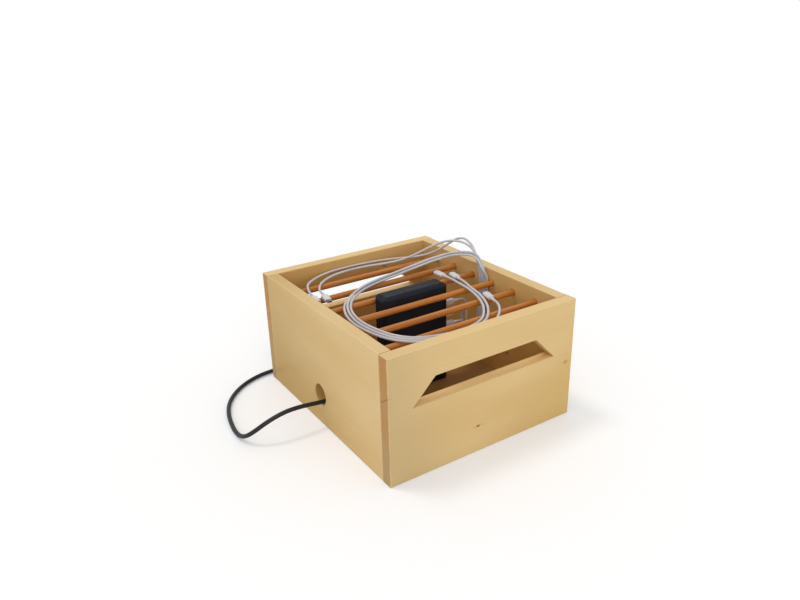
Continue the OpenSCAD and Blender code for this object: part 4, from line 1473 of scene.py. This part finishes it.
@dataclass
class Charger:
    """The charging block: its covers, screws, ports and what is inside."""

    slot_depth: float = 0.0009
    face_depth: float = 1e-5
    shank_tip: float = 0.001
    tip_share: float = 0.42
    shank_share: float = 0.5
    collar_share: float = 0.96
    neck_share: float = 0.6
    dome_share: float = 0.12
    head_line: tuple[tuple[float, float], ...] = ((2, 1.0), (1, 0.94), (0.4, 0.75), (0.12, 0.5))
    cross_sink: float = 0.1
    slot_share: float = 0.7
    screw_points: int = 24
    cross: tuple[float, ...] = (0.48, 0.4, 0.18, 0.18, 0.18, 0.4)

    def screw_rings(self, head: Vector, radius: float, foot: float) -> list[Ring]:
        """Makes a screw with a domed head, from its shank to the bottom of its cross recess.

        Args:
            head: Middle of the outer face of its head.
            radius: Radius of the head.
            foot: Y of the end of its shank.

        Returns:
            The rings.
        """
        dome, neck = radius * self.dome_share, head.y - radius * self.neck_share
        profile = [(foot, self.tip_share), (foot + self.shank_tip, self.shank_share),
                   (neck, self.shank_share), (neck, self.collar_share),
                   *((head.y - dome * sink, share) for sink, share in self.head_line)]
        cross = [self.cross[i % len(self.cross)] for i in range(self.screw_points)]
        rows = [(y, [share] * self.screw_points) for y, share in profile]
        rows += [(head.y - dome * self.cross_sink, cross),
                 (head.y - self.slot_depth, [self.slot_share * share for share in cross])]
        turns = [2 * math.pi * i / self.screw_points for i in range(self.screw_points)]
        return [[Vector((head.x + radius * share * math.cos(t), y, head.z + radius * share * math.sin(t)))
                 for share, t in zip(shares, turns)] for y, shares in rows]

    def screw_heads(self) -> Piece:
        """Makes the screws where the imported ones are.

        Returns:
            The screws, as one piece.
        """
        (low, high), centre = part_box("charger_screws"), middle("charger_screws")
        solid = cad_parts["charger_screws"]
        outer = [v.co for v in solid.data.vertices if v.co.y > high.y - self.face_depth]
        mesh = bmesh.new()
        for x_side, z_side in ((-1, -1), (-1, 1), (1, -1), (1, 1)):
            rim = [p for p in outer if (p.x - centre.x) * x_side > 0 and (p.z - centre.z) * z_side > 0]
            head = sum(rim, Vector()) / len(rim)
            loft(mesh, self.screw_rings(head, max((p - head).length for p in rim), low.y))
        return mesh_object("charger_screw_heads", mesh, SCREW_METAL)

    def build(self) -> None:
        """Dresses the charger."""
        dress("charger_front_cover", SLATE_PLASTIC)
        dress("charger_rear_cover", SLATE_PLASTIC)
        adopt(self.screw_heads(), "screw_metal", "charger_screws")
        dress("usb_ports", METAL)
        dress("circuit_board", CircuitLaminate("circuit_laminate"))
        dress("transformer", WoundTape("winding_tape"))
        dress("capacitor", SLEEVE)


@dataclass
class SoftLamp:
    """A broad lamp far away: the way towards it, the angle that it fills and its strength."""

    name: str
    towards: Point
    spread: float
    strength: float

    def build(self) -> None:
        """Hangs the lamp."""
        data = bpy.data.lights.new(self.name, "SUN")
        data.angle = math.radians(self.spread)
        data.energy = self.strength
        show(self.name, data).matrix_world = Vector(self.towards).to_track_quat("Z", "Y").to_matrix().to_4x4()


@dataclass
class Studio:
    """A pale floor, a white surround and soft lamps."""

    floor_half: float = 80.0
    floor_drop: float = 0.0002
    floor_squares: int = 8
    ambient: float = 0.76
    lamps: tuple[SoftLamp, ...] = (
        SoftLamp("key_lamp", (-0.42, -0.87, 0.24), 60.0, 0.72),
        SoftLamp("top_lamp", (-0.22, 0.26, 0.94), 14.0, 0.54))

    def build_floor(self) -> None:
        """Lays the floor, which keeps the shadow of the box."""
        mesh = bmesh.new()
        bmesh.ops.create_grid(mesh, x_segments=self.floor_squares, y_segments=self.floor_squares,
                              size=self.floor_half)
        bmesh.ops.translate(mesh, verts=mesh.verts, vec=(0, 0, -self.floor_drop))
        mesh_object("floor", mesh, PaleFloor("pale_floor"))

    def build_surround(self) -> None:
        """Makes the surround white to look at, and soft light for everything else."""
        world = bpy.data.worlds.new("surround")
        world.use_nodes = True
        bpy.context.scene.world = world
        graph = Graph(world.node_tree)
        soft, plain = (graph.add("ShaderNodeBackground", None, {"Color": WHITE, "Strength": strength})
                       for strength in (self.ambient, 1.0))
        graph.close(graph.seen_as(soft, plain), "ShaderNodeOutputWorld")

    def build(self) -> None:
        """Sets up the studio."""
        bpy.context.scene.view_settings.view_transform = "Standard"
        self.build_floor()
        self.build_surround()
        for lamp in self.lamps:
            lamp.build()


def main() -> None:
    """Builds the dressed charging box."""
    logging.basicConfig(level=logging.INFO, format="%(message)s")
    PhotoCamera().build()
    for assembly in (ChargingLeads(), MainsLead(), WoodenBox(), Charger(), Studio()):
        assembly.build()


if __name__ == "__main__":
    main()
